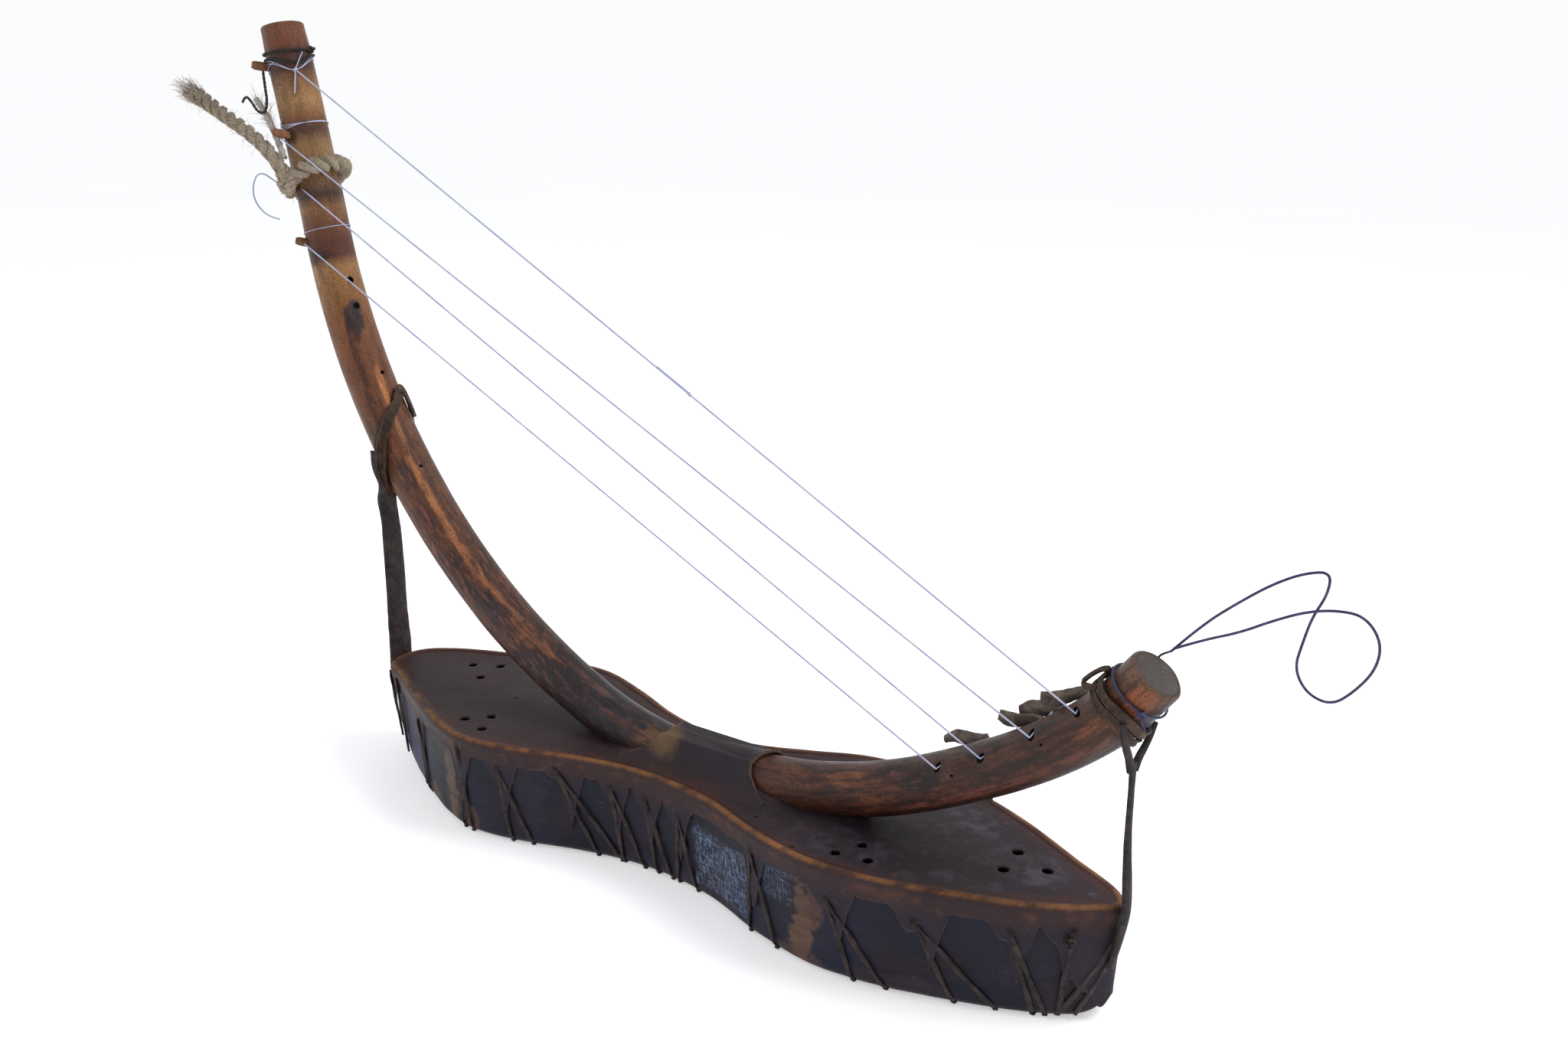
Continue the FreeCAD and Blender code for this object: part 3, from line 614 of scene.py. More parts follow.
# Patches on the bow: arc length, angle, half length, half width in degrees, colour, strength. The long pale
# copper patches at 146 to 165 degrees from 206 to 372 mm are a painted highlight streak along the neck's
# inner side.
BOW_PATCHES = [(124, 30, 7, 60, srgb(30, 18, 18), 0.9), (126, 95, 4, 40, srgb(36, 18, 16), 0.8),
               (60, 60, 4, 60, srgb(52, 26, 22), 0.7), (22, 90, 4, 90, srgb(60, 30, 24), 0.5),
               (163, 152, 9, 24, srgb(34, 26, 28), 0.95), (157, 166, 5, 12, srgb(40, 38, 44), 0.95),
               (171, 140, 6, 18, srgb(52, 28, 24), 0.8), (196, 128, 24, 7, srgb(64, 30, 24), 0.7),
               (228, 118, 26, 6, srgb(58, 26, 22), 0.7), (206, 165, 16, 10, srgb(196, 120, 64), 0.5),
               (226, 158, 22, 9, srgb(206, 134, 78), 0.5), (276, 150, 30, 10, srgb(204, 132, 80), 0.55),
               (262, 122, 10, 20, srgb(66, 42, 40), 0.8), (284, 112, 16, 14, srgb(72, 34, 32), 0.8),
               (318, 146, 28, 12, srgb(182, 112, 70), 0.5), (330, 100, 30, 12, srgb(70, 38, 34), 0.7),
               (352, 120, 16, 16, srgb(58, 44, 52), 0.7), (372, 150, 26, 14, srgb(168, 104, 66), 0.45),
               (392, 96, 12, 22, srgb(52, 40, 48), 0.8), (430, 165, 20, 9, srgb(120, 86, 74), 0.45),
               (462, 130, 26, 10, srgb(104, 66, 56), 0.5), (490, 95, 28, 18, srgb(98, 46, 38), 0.6),
               (512, 150, 16, 16, srgb(56, 60, 78), 0.5), (600, 140, 12, 20, srgb(132, 78, 46), 0.6),
               (618, 95, 14, 30, srgb(118, 66, 40), 0.5), (632, 150, 12, 26, srgb(40, 26, 24), 0.8),
               (646, 118, 10, 30, srgb(36, 24, 24), 0.85), (668, 62, 30, 10, srgb(104, 52, 44), 0.6),
               (700, 96, 22, 12, srgb(38, 24, 22), 0.7), (716, 140, 18, 10, srgb(40, 24, 22), 0.7),
               (741, 96, 10, 16, srgb(142, 82, 44), 0.6), (766, 70, 8, 34, srgb(152, 84, 46), 0.7),
               (690, 61, 85, 7, srgb(112, 68, 56), 0.6), (477, 125, 7, 40, srgb(112, 80, 54), 0.7),
              (774, 118, 7, 30, srgb(132, 96, 72), 0.6)]


def bow_tint(along, degrees):
    """Broad colour of the bow by arc length (mm) and angle, with painted shade on the under side."""
    stations, upper, under = zip(*BOW_TONES)
    upper, under = (interpolate(along, stations, tones) for tones in (upper, under))
    angle = np.radians(degrees)
    # Painted shade: away from 140 degrees, the side that faces the light, the colour turns from the upper
    # column to the darker under column.
    lit_facing = smoothstep(-0.75, 0.45, np.cos(angle - math.radians(140)))
    places = np.stack([along * 0.02, np.cos(angle), np.sin(angle)], 1)
    ragged = octaves(places, (2.2, 3.0, 0.7), (6.0, 8.0, 0.5), (17, 1.0, 0.4))
    colours = mix(under, upper, np.clip(lit_facing + ragged * 0.18, 0, 1))
    # Stains and wear from BOW_PATCHES, and among them a painted highlight streak along the neck's inner
    # side.
    for middle, centre, half_length, half_width, colour, strength in BOW_PATCHES:
        reach = np.hypot((along - middle) / half_length, turn_from(degrees, centre) / half_width)
        share = smoothstep(1.15, 0.75, reach + ragged * 0.5) * strength
        colours = mix(colours, colour, share)
    streak_places = np.stack([along * 0.008, np.cos(angle) * 3.2, np.sin(angle) * 3.2], 1)
    dark_streaks = smoothstep(0.18, 0.42, octaves(streak_places, (2.6, 5.0, 1), (9, 2, 0.3)))
    weight = np.interp(along, [0, 170, 240, 380, 600, 800], [0.05, 0.25, 0.5, 0.6, 0.95, 0.7])
    colours = mix(colours, srgb(38, 23, 23), dark_streaks * weight * 0.8)
    return mottled(colours, along, angle)


def mottled(colours, along, angle):
    """Smoky dark blotches and copper glints, strongest below the left strap and on the short arm."""
    places = np.stack([along * 0.03, np.cos(angle) * 2.2, np.sin(angle) * 2.2], 1)
    smoke = smoothstep(0.02, 0.36, octaves(places, (3.1, 12.0, 1), (11, 4.0, 0.5)))
    share = np.interp(along, [150, 230, 330, 520, 545, 560, 640, 740, 780],
                      [0, 0.35, 0.75, 0.6, 0.2, 0.5, 0.75, 0.6, 0.1])
    colours = mix(colours, srgb(34, 22, 23), smoke * share)
    glint = smoothstep(0.22, 0.5, octaves(places, (4.3, 20.0, 1), (15, 3.0, 0.45)))
    share = np.interp(along, [150, 250, 390, 430, 540, 640, 740], [0.1, 0.5, 0.45, 0.15, 0.3, 0.3, 0.1])
    return mix(colours, srgb(146, 88, 56), glint * share)


def bow_radius_share(along, degrees):
    """Uneven whittled section: facets, a ridge along the short arm, rounded neck top."""
    angle = np.radians(degrees)
    places = np.stack([along * 0.012, np.cos(angle) * 0.8, np.sin(angle) * 0.8], 1)
    share = 1 + octaves(places, (1.3, 2.0, 0.02), (5.0, 6.0, 0.008))
    arm = smoothstep(560, 640, along)
    for ridge, height, width in ((62, 0.035, 16), (128, 0.02, 20), (-70, 0.03, 18)):
        share = share + arm * height * np.exp(-(turn_from(degrees, ridge) / width) ** 2)
    share = share - arm * 0.03
    gouge = np.hypot((along - 160) / 7, turn_from(degrees, 158) / 12)
    share = share - 0.05 * smoothstep(1.1, 0.5, gouge)
    share = share - 0.04 * smoothstep(14, 2, along)
    near_top = np.clip(1 - along / 1.5, 0, 1)
    return share * (1 - 0.12 * (1 - np.sqrt(1 - near_top ** 2)))


def build_bow():
    """The stick as one closed skin of rings, finer at both ends, with its tint and its UVs."""
    length = BOW_LENGTH / MM
    rows = np.concatenate([np.linspace(0, 1.5, 8), np.arange(2.4, length - 3, 1.15),
                           length - np.array([3, 2.2, 1.5, 0.9, 0.5, 0.2, 0.0])])
    sides = 96
    degrees = np.linspace(0, 360, sides, endpoint=False)
    along, turn = (grid.ravel() for grid in np.meshgrid(rows, degrees, indexing="ij"))
    centre, tangent, radius = bow_values(along * MM)
    share = bow_radius_share(along, turn)
    edge = np.clip(1 - (length - along) / 1.6, 0, 1)
    share = share * (1 - 0.07 * edge ** 2)
    vertices = centre + bow_directions(tangent, turn) * (radius * share)[:, None]
    faces = grid_faces(len(rows), sides, wrap=True)
    vertices, faces, extra = close_bow_ends(vertices, faces, sides)
    made = mesh_object("bow_stick", vertices, flipped(faces), PAINTS["bow_wood"].material)
    set_uv(made, np.concatenate([np.stack([turn / 360, along * MM], 1), vertices[-extra:, [1, 2]] * 3]))
    colours = bow_tint(along, turn)
    lip = smoothstep(0.2, 1.0, np.clip(1 - (length - along) / 3.5, 0, 1))
    colours = mix(colours, srgb(118, 88, 66), lip * 0.5)
    set_tint(made, np.concatenate([colours, np.tile(srgb(74, 64, 59), (extra, 1))]))
    return made


def close_bow_ends(vertices, faces, sides):
    """Close the neck's top with a point and the arm's end with a slightly uneven flat face."""
    top = vertices[:sides].mean(axis=0)
    last = vertices[-sides:]
    middle = last.mean(axis=0)
    rings = [middle + (last - middle) * share for share in (0.86, 0.62, 0.36, 0.12)]
    base = len(vertices)
    extra = np.concatenate([np.concatenate(rings), [middle], [top]])
    start = base - sides
    for ring in range(4):
        inner = base + ring * sides
        for k in range(sides):
            after = (k + 1) % sides
            faces.append((start + k, start + after, inner + after, inner + k))
        start = inner
    for k in range(sides):
        faces.append((start + k, start + (k + 1) % sides, base + 4 * sides))
        faces.append(((k + 1) % sides, k, base + 4 * sides + 1))
    return np.concatenate([vertices, extra]), faces, len(extra)


STRING_BORE, PEG_BORE = 1.6 * MM, 2.56 * MM
# Painted shade for the walls inside the drilled holes.
HOLE_SHADE_COLOUR = srgb(30, 20, 18)


def drill_bow(made):
    """Cut the string and peg holes and the old empty holes into the stick."""
    drills = []
    for (foot, _), toggle in zip(STRINGS, TOGGLES):
        foot = np.array(foot)
        through = toggle_hitch(toggle) - foot
        drills.append((foot - through * 0.3, foot + through * 0.9, STRING_BORE, 16))
    for centre, direction, _ in PEGS.values():
        outward = unit(np.array(direction))
        drills.append((centre - outward * 0.0085, centre + outward * 0.03, PEG_BORE, 20))
    for along, degrees, radius, depth in OLD_HOLES:
        drills.append((on_bow(along, degrees, 3)[0], on_bow(along, degrees, -depth)[0], radius * MM, 16))
    vertices, faces = merge_arrays([tube_arrays(np.linspace(start, end, 3), radius, sides)
                                    for start, end, radius, sides in drills])
    cutter = mesh_object("bow_drills", vertices, faces, PAINTS["cavity"].material)
    set_tint(cutter, np.tile(HOLE_SHADE_COLOUR, (len(vertices), 1)))
    set_uv(cutter, np.zeros((len(vertices), 2)))
    step = made.modifiers.new("holes", "BOOLEAN")
    step.operation = "DIFFERENCE"
    step.solver = "EXACT"
    step.material_mode = "TRANSFER"
    step.object = cutter
    apply_modifiers(made)
    paint_hole_shade(made)
    bpy.data.objects.remove(cutter)


def paint_hole_shade(made):
    """The vertices that a cut made have no tint of their own: paint them near-black as painted shade inside
    the holes.
    """
    layer = made.data.attributes["tint"]
    colours = np.zeros(len(made.data.vertices) * 4, np.float32)
    layer.data.foreach_get("color", colours)
    colours = colours.reshape(-1, 4)
    colours[colours[:, :3].min(axis=1) > 0.75, :3] = HOLE_SHADE_COLOUR
    layer.data.foreach_set("color", colours.ravel())


def toggle_hitch(toggle):
    """Where a string is hitched to its toggle."""
    start, end = (np.array(point) for point in toggle)
    return start + (end - start) * 0.85


def thicken(made, thickness, offset):
    """Give a skin its thickness; offset -1 grows it inwards, 0 to both sides."""
    step = made.modifiers.new("thickness", "SOLIDIFY")
    step.thickness = thickness
    step.offset = offset
    step.use_quality_normals = offset < 0
    apply_modifiers(made)


def apply_modifiers(made):
    """Keep the shape that the modifiers give, and drop them."""
    graph = bpy.context.evaluated_depsgraph_get()
    settled = bpy.data.meshes.new_from_object(made.evaluated_get(graph))
    made.modifiers.clear()
    made.data = settled


# String lines: the foot on the short arm's front, the top where it meets the neck (metres).
STRINGS = [((0.1435, -0.011, 0.0998), (-0.2635, -0.0138, 0.3042)),
           ((0.165, -0.011, 0.1112), (-0.2622, -0.0132, 0.3342)),
           ((0.1875, -0.0106, 0.1276), (-0.2688, -0.0188, 0.361)),
           ((0.2075, -0.0104, 0.1442), (-0.2672, -0.0066, 0.397))]
TOGGLES = [((0.1385, 0.0115, 0.1042), (0.155, 0.0134, 0.108)),
           ((0.1663, 0.008, 0.1248), (0.1823, 0.0156, 0.1218)),
           ((0.176, 0.008, 0.1305), (0.191, 0.0135, 0.1335)),
           ((0.188, 0.003, 0.1415), (0.2035, 0.0135, 0.143))]
PEGS = {"tuning_peg_top": ((-0.2787, 0, 0.396), (-0.6, -0.78, 0.15), 0.021),
        "tuning_peg_upper": ((-0.2702, 0, 0.36), (-0.05, -0.97, 0.2), 0.022),
        "tuning_peg_lower": ((-0.258, 0, 0.301), (-0.55, -0.8, 0.25), 0.0195)}
# Empty holes: arc length, angle, radius and depth in millimetres.
OLD_HOLES = [(142, 170, 1.9, 5), (157, 168, 1.7, 1.6), (198, 176, 1.1, 2), (216, 172, 1.1, 2),
             (258, 166, 0.8, 1.2), (664, 108, 0.7, 2), (748, 122, 0.9, 2), (714, 112, 0.6, 1.5)]


# ------------------------------------------------------------------ soundbox
# The rim's outline from above: x, y in millimetres, along the front and back along the rear.
RIM_FRONT = [(-231, 7), (-227, -5), (-210, -14), (-177, -31), (-145, -46), (-119, -52), (-90, -47),
             (-60, -37), (-30, -29.5), (0, -28), (30, -32), (64, -43.5), (98, -50), (130, -47.5),
             (165, -38), (200, -25), (222, -12), (231, -3)]
RIM_REAR = [(226, 6), (200, 21), (165, 40), (130, 53), (98, 57), (70, 54), (42, 42), (14, 31),
            (-14, 28.5), (-45, 35), (-80, 49), (-115, 59), (-150, 55), (-185, 44), (-212, 32), (-227, 20)]
# The box in millimetres: height of its rim, how far its foot is drawn in, wall and floor thickness.
BOX_TOP, BOX_TAPER, BOX_WALL, BOX_FLOOR = 56.0, 2.0, 7.0, 8.0
BOX_BASE = 0.8
PROW_START, PROW_RISE = -187.0, 41     # where the underside starts to rise, and by how much
STERN_START, STERN_RISE = 217.0, 13
HIDE_TOP = 58.0
AROUND = 900        # places round the outline
WALL_ROWS = 54


def outline_line():
    """Closed outline of the box's rim in millimetres, and its outward normals."""
    points = RIM_FRONT + RIM_REAR
    looped = points[-3:] + points + points[:3]
    dense = []
    for a, b, c, d in zip(looped[:-3], looped[1:-2], looped[2:-1], looped[3:]):
        corners = [np.array(p, float) for p in (a, b, c, d)]
        for share in np.linspace(0, 1, 60, endpoint=False):
            dense.append(catmull(*corners, share))
    dense = np.array(dense[120:120 + 60 * len(points)])
    start = np.argmin(dense[:, 0])
    dense = np.roll(dense, -start, axis=0)
    closed = np.concatenate([dense, dense[:1]])
    line = resample(closed, AROUND + 1)[:-1]
    along = unit(np.roll(line, -1, axis=0) - np.roll(line, 1, axis=0))
    return line, np.stack([along[:, 1], -along[:, 0]], 1)


OUTLINE, OUTLINE_NORMAL = outline_line()
RIGHT_TIP = int(np.argmax(OUTLINE[:, 0]))


def underside(x):
    """Height of the box's underside (mm): the long prow on the left, a small round on the right."""
    left = np.clip((PROW_START - x) / 44.5, 0, 1)
    right = np.clip((x - STERN_START) / 14.5, 0, 1)
    prow = PROW_RISE * (0.55 * left ** 2 + 0.45 * left ** 5)
    return BOX_BASE + prow + STERN_RISE * (0.45 * right ** 2 + 0.55 * right ** 6)


def wall_point(place, height, lift):
    """Points on the box's outer wall: outline place (0 to AROUND), height and lift in millimetres."""
    place = np.mod(np.asarray(place, float), AROUND)
    low = np.floor(place).astype(int) % AROUND
    share = (place - np.floor(place))[..., None]
    after = (low + 1) % AROUND
    point = OUTLINE[low] * (1 - share) + OUTLINE[after] * share
    normal = OUTLINE_NORMAL[low] * (1 - share) + OUTLINE_NORMAL[after] * share
    height = np.broadcast_to(np.asarray(height, float), place.shape)
    inwards = BOX_TAPER * (1 - height / BOX_TOP)
    flat = point + normal * (lift - inwards)[..., None]
    return np.concatenate([flat, height[..., None]], -1) * MM


def wall_outward(place):
    """Outward directions of the wall at outline places."""
    index = np.mod(place.round().astype(int), AROUND)
    return np.column_stack([OUTLINE_NORMAL[index], np.zeros(len(index))])


def places_from(place):
    """Distance (in outline places) of every place from one place, the shorter way round."""
    return abs((np.arange(AROUND) - place + AROUND / 2) % AROUND - AROUND / 2)


def front_place(x):
    """Outline place on the front wall at x (mm)."""
    return np.interp(x, OUTLINE[:RIGHT_TIP + 1, 0], np.arange(RIGHT_TIP + 1))


def rear_place(x):
    """Outline place on the rear wall at x (mm)."""
    rear = np.arange(AROUND - 1, RIGHT_TIP - 1, -1)
    return np.interp(x, OUTLINE[rear, 0], rear)


# Worn wood and stains on the front wall: x, z, half width, half height, colour, strength.
WALL_PATCHES = [(-134, 26, 6, 26, srgb(98, 76, 60), 0.75), (-120, 8, 7, 8, srgb(88, 68, 56), 0.6),
                (-158, 8, 6, 6, srgb(96, 72, 56), 0.5), (-196, 44, 12, 5, srgb(74, 56, 52), 0.5),
                (-146, 46, 20, 5, srgb(68, 50, 48), 0.4), (97, 14, 6, 26, srgb(96, 72, 56), 0.7),
                (104, 36, 5, 16, srgb(88, 62, 50), 0.6), (92, 4, 20, 3, srgb(80, 58, 50), 0.5),
                (-84, 30, 12, 22, srgb(42, 37, 46), 0.6), (150, 6, 26, 4, srgb(52, 42, 48), 0.5),
                (214, 10, 12, 9, srgb(46, 36, 42), 0.6), (200, 26, 10, 16, srgb(40, 34, 48), 0.5),
                (-214, 40, 8, 10, srgb(58, 52, 62), 0.6), (0, 6, 22, 4, srgb(48, 42, 54), 0.5)]
# Scratched squares on the front wall: x, z, half width, half height, strength.
SCRATCHES = [(39.5, 23, 20, 16, 1.0), (80, 37, 11, 9, 0.5)]


def wall_tint(x, z, places):
    """Broad colour of the wall: navy, with painted light that makes it paler and bluer towards the prow,
    and worn and stained patches.
    """
    colours = np.tile(np.array(srgb(25, 24, 37)), (len(x), 1))
    ragged = octaves(places, (60, 2, 0.5), (190, 4, 0.45), (520, 6, 0.3))
    # Painted light: paler blue towards the prow where light falls on the wall; a little of the same blue
    # lies everywhere at random.
    blue = smoothstep(-0.2, 0.5, wobble(places * np.array([1, 1, 0.5]), 30, 9))
    colours = mix(colours, srgb(52, 56, 90), blue * 0.6 * smoothstep(-140, -190, x) + blue * 0.1)
    colours = mix(colours, srgb(36, 26, 32), smoothstep(0.1, 0.5, wobble(places, 38, 5)) * 0.55)
    for centre, height, half_width, half_height, colour, strength in WALL_PATCHES:
        reach = np.hypot((x - centre) / half_width, (z - height) / half_height)
        colours = mix(colours, colour, smoothstep(1.15, 0.75, reach + ragged * 1.1) * strength)
    return mix(colours, srgb(56, 40, 36), smoothstep(4, 0.5, z + ragged * 2) * 0.6)


def chalk_share(x, y, z, places):
    """Where pale scratches cover the paint, 0 to 1."""
    ragged = octaves(places, (300, 6, 0.12), (60, 3, 0.12))
    share = np.zeros(len(x))
    for centre, height, half_width, half_height, strength in SCRATCHES:
        inside = np.maximum(abs(x - centre) / half_width, abs(z - height) / half_height)
        share = np.maximum(share, smoothstep(1.06, 0.94, inside + ragged) * strength)
    return share * (y < 0)


def build_soundbox():
    """Carved trough: outer wall, rim, inner wall and floor, closed."""
    places = np.arange(AROUND, dtype=float)
    shares = np.linspace(0, 1, WALL_ROWS)
    low = underside(OUTLINE[:, 0])
    rings = []
    for share in shares:
        foot_rounding = 2 * np.clip(1 - share * 16, 0, 1) ** 2
        rings.append(wall_point(places, low + (BOX_TOP - low) * share, -foot_rounding))
    inner = (OUTLINE - OUTLINE_NORMAL * BOX_WALL) * np.array([0.93, 1.0])
    for height in (BOX_TOP, 40.0, 22.0, BOX_FLOOR):
        rings.append(np.column_stack([inner, np.full(AROUND, height)]) * MM)
    floor = close_across(rings[-1])
    base = close_across(rings[0])
    count = len(rings) * AROUND
    vertices = np.concatenate(rings + floor + base)
    faces = grid_faces(len(rings), AROUND, wrap=True)
    faces += spanning_faces(AROUND * (len(rings) - 1), count, False)
    faces += spanning_faces(0, count + sum(len(f) for f in floor), True)
    outer = len(shares) * AROUND
    bumps = octaves(vertices[:outer], (45, 2, 0.35), (130, 7, 0.18))
    normal = np.tile(np.column_stack([OUTLINE_NORMAL, np.zeros(AROUND)]), (len(shares), 1))
    vertices[:outer] += normal * (bumps * MM)[:, None]
    made = mesh_object("soundbox_shell", vertices, faces, PAINTS["soundbox_paint"].material)
    colours = wall_tint(vertices[:, 0] / MM, vertices[:, 2] / MM, vertices)
    # Painted shade: the inner wall, the floor inside and the base underneath are painted near-black.
    colours[outer:] = srgb(22, 17, 15)
    set_tint(made, colours)
    chalk = made.data.attributes.new("chalk", "FLOAT", "POINT")
    share = chalk_share(vertices[:, 0] / MM, vertices[:, 1], vertices[:, 2] / MM, vertices)
    chalk.data.foreach_set("value", share.astype(np.float32))
    return dressed(made, "soundbox_paint", "soundbox")


ACROSS = 13         # rows of vertices across the floor and the base


def close_across(ring):
    """Inner rows between front points and their partners on the rear, for a floor or base."""
    front, rear = partners()
    return [ring[front] * (1 - share) + ring[rear] * share
            for share in np.linspace(0, 1, ACROSS + 2)[1:-1]]


def partners():
    """Matching outline places on the front and rear from the left tip to the right tip."""
    half = AROUND // 2
    front = np.linspace(0, RIGHT_TIP, half + 1).round().astype(int)
    rear = np.linspace(AROUND, RIGHT_TIP, half + 1).round().astype(int) % AROUND
    return front[1:-1], rear[1:-1]


def spanning_faces(ring_start, rows_start, upside_down):
    """Quads from the front half of a ring across the inner rows to its rear half."""
    front, rear = partners()
    count = len(front)
    lines = [ring_start + front]
    lines += [rows_start + row * count + np.arange(count) for row in range(ACROSS)]
    lines.append(ring_start + rear)
    faces = []
    for near, far in zip(lines[:-1], lines[1:]):
        for k in range(count - 1):
            quad = (near[k], near[k + 1], far[k + 1], far[k])
            faces.append(tuple(int(i) for i in (quad[::-1] if upside_down else quad)))
    return faces


# ------------------------------------------------------------------ hide
# Places of the holes in the top: x, y in millimetres.
SOUND_HOLES = [(-186, 20), (-171, 28), (-169, 9.5), (-135, -35.5), (-125, -25), (-118, -39),
               (107, -37), (114, -24), (123, -34), (176, 11), (177, -6), (194, 4)]
SMALL_HOLES = [(-131, 0), (-150, 34), (58, -31), (88, -44)]
# Lace holes in the apron: x, z of the hole, two foot x on the base (front wall, then rear wall).
LACES_FRONT = [(-176, 46, -176, -170), (-123, 52, -125, -118), (-97, 44, -92, -80), (-65, 49, -44, -30),
               (-34, 44, -29, -16), (-13, 44, -8, 2), (9, 40, 19, 6), (65, 48, 61, 80),
               (111, 41, 124, 140), (152, 40, 170, 188), (192, 43, 203, 208), (216, 46, 213, 212.5)]
LACES_REAR = [(-190, 44, -186, -178), (-140, 45, -150, -132), (-104, 43, -112, -98), (-66, 44, -72, -58),
              (-28, 44, -36, -22), (4, 42, -2, 12), (38, 44, 34, 48), (78, 43, 72, 88),
              (120, 44, 112, 132), (160, 43, 150, 170), (196, 44, 188, 202)]
HIDE_ROWS = 120     # rows of vertices across the flat skin
STRIP_HALF = 27.0   # half the length of the strip over the bow, along y
WALL_LACES = ((LACES_FRONT, front_place), (LACES_REAR, rear_place))


def apron_depth():
    """Height of the apron's lower edge round the outline: tabs at the lace holes, arches between."""
    places = np.arange(AROUND)
    edge = np.full(AROUND, 48.5)
    for laces, side in WALL_LACES:
        for x, height, *feet in laces:
            away = places_from(side(x) * 0.72 + side(sum(feet) / 2) * 0.28)
            hole_away = places_from(side(x))
            edge = np.minimum(edge, height - 4.5 + 12 * smoothstep(2.0, 11.0, hole_away))
            edge = np.minimum(edge, 14 + 36 * np.clip(away / 7.5, 0, 1) ** 0.8)
    tip = places_from(RIGHT_TIP)
    edge = np.minimum(edge, 9 + 40 * smoothstep(7, 34, tip) + 2 * np.cos(tip * 0.55))
    prow = np.minimum(places, AROUND - places)
    edge = np.minimum(edge, 40 + 10 * smoothstep(8, 40, prow) + 1.6 * np.cos(prow * 0.45))
    rough = wobble(np.column_stack([OUTLINE, 0 * places]), 0.22, 3)
    return edge + rough * 0.8


def bow_over(x):
    """Centre height and radius of the bow (mm) above each x in the middle of the box."""
    line = BOW_LINE[abs(BOW_LINE[:, 0]) < 0.2] / MM
    return np.interp(x, line[:, 0], line[:, 2]), np.interp(x, line[:, 0], line[:, 3])


def strip_slope(y):
    """Fall of the strip from the bow's side (1) to the flat skin (0)."""
    inner = 9.0
    return (1 - np.clip((abs(y) - inner) / (STRIP_HALF - inner), 0, 1)) ** 2.6


def strip_height(x, y):
    """Height of the strip's top surface (mm) where the hide passes over the bow."""
    centre, radius = bow_over(x)
    radius = radius + 1.7
    over = centre + np.sqrt(np.clip(radius ** 2 - y ** 2, 0, None))
    side = HIDE_TOP + 13.2 * strip_slope(y)
    return np.maximum(np.where(abs(y) < radius, over, 0), side)


def lips(y):
    """Left and right ends of the strip (mm) at each y: slanted on the left, hooked on the right."""
    front = np.clip(-y, -20, 20)
    left = np.interp(front, [-20, 0, 7, 11, 14, 15, 20], [-20, -15.6, -16.7, -20, -24, -27, -36])
    right = np.interp(front, [-20, -12, 0, 5, 9, 12.7, 14.8, 20], [56, 46, 42, 40.8, 39.8, 41.5, 45.4, 54])
    return left, right


def build_hide():
    """One skin: the flat top, the strip over the bow, the rolled rim and the scalloped apron."""
    front, rear = (np.concatenate([[0], half, [RIGHT_TIP]]) for half in partners())
    near = OUTLINE + OUTLINE_NORMAL * 0.3
    shares = np.linspace(0, 1, HIDE_ROWS)
    top = [near[front] * (1 - share) + near[rear] * share for share in shares]
    flat, faces = punch(np.concatenate(top), grid_faces(HIDE_ROWS, len(front)))
    vertices = np.column_stack([flat, flat_height(flat)])
    skin, skin_faces = apron_arrays()
    strip, strip_faces = strip_arrays()
    vertices, faces = merge_arrays([(vertices * MM, faces), (skin, skin_faces), (strip, strip_faces)])
    made = mesh_object("hide_skin", vertices, faces, PAINTS["hide"].material)
    set_tint(made, hide_tint(vertices))
    thicken(made, 1.5 * MM, -1)
    return dressed(made, "hide", "hide_soundboard")


def flat_height(flat):
    """Gentle sag and swelling of the skin; raised beside the bow under the strip."""
    x, y = flat[:, 0], flat[:, 1]
    left, right = -34.0, 52.0
    window = smoothstep(left - 16, left + 12, x) * smoothstep(right + 14, right - 12, x)
    bow_side = 13.0 * strip_slope(y) * window
    bow_side = np.where(abs(y) < 14, np.minimum(bow_side, 2.0), bow_side)
    places = np.column_stack([flat, 0 * x])
    ripple = octaves(places, (0.018, 2, 0.5), (0.06, 5, 0.22))
    return HIDE_TOP - 0.5 + ripple + bow_side


def apron_arrays():
    """Rolled rim from just inside the edge, over it and down to the scalloped lower edge."""
    places = np.arange(AROUND, dtype=float)
    edge = apron_depth()
    rings = []
    for inside, drop in ((4.0, 0.25), (2.2, -0.35), (0.8, -0.55), (-0.6, -0.1), (-1.6, 0.9), (-2.1, 2.2)):
        flat = OUTLINE - OUTLINE_NORMAL * inside
        rings.append(np.column_stack([flat, np.full(AROUND, HIDE_TOP - 0.4 - drop)]) * MM)
    start = HIDE_TOP - 4.5
    low = np.maximum(edge, underside(OUTLINE[:, 0]) + 0.5)
    for share in np.linspace(0, 1, 26):
        height = start + (low - start) * share
        lift = 1.9 - 0.7 * share + 0.35 * np.exp(-((share - 1) / 0.08) ** 2)
        points = wall_point(places, height, lift)
        crease = wobble(points, 90, 4) * 0.45 * share
        points[:, :2] += OUTLINE_NORMAL * (crease * MM)[:, None]
        rings.append(points)
    return np.concatenate(rings), flipped(grid_faces(len(rings), AROUND, wrap=True))


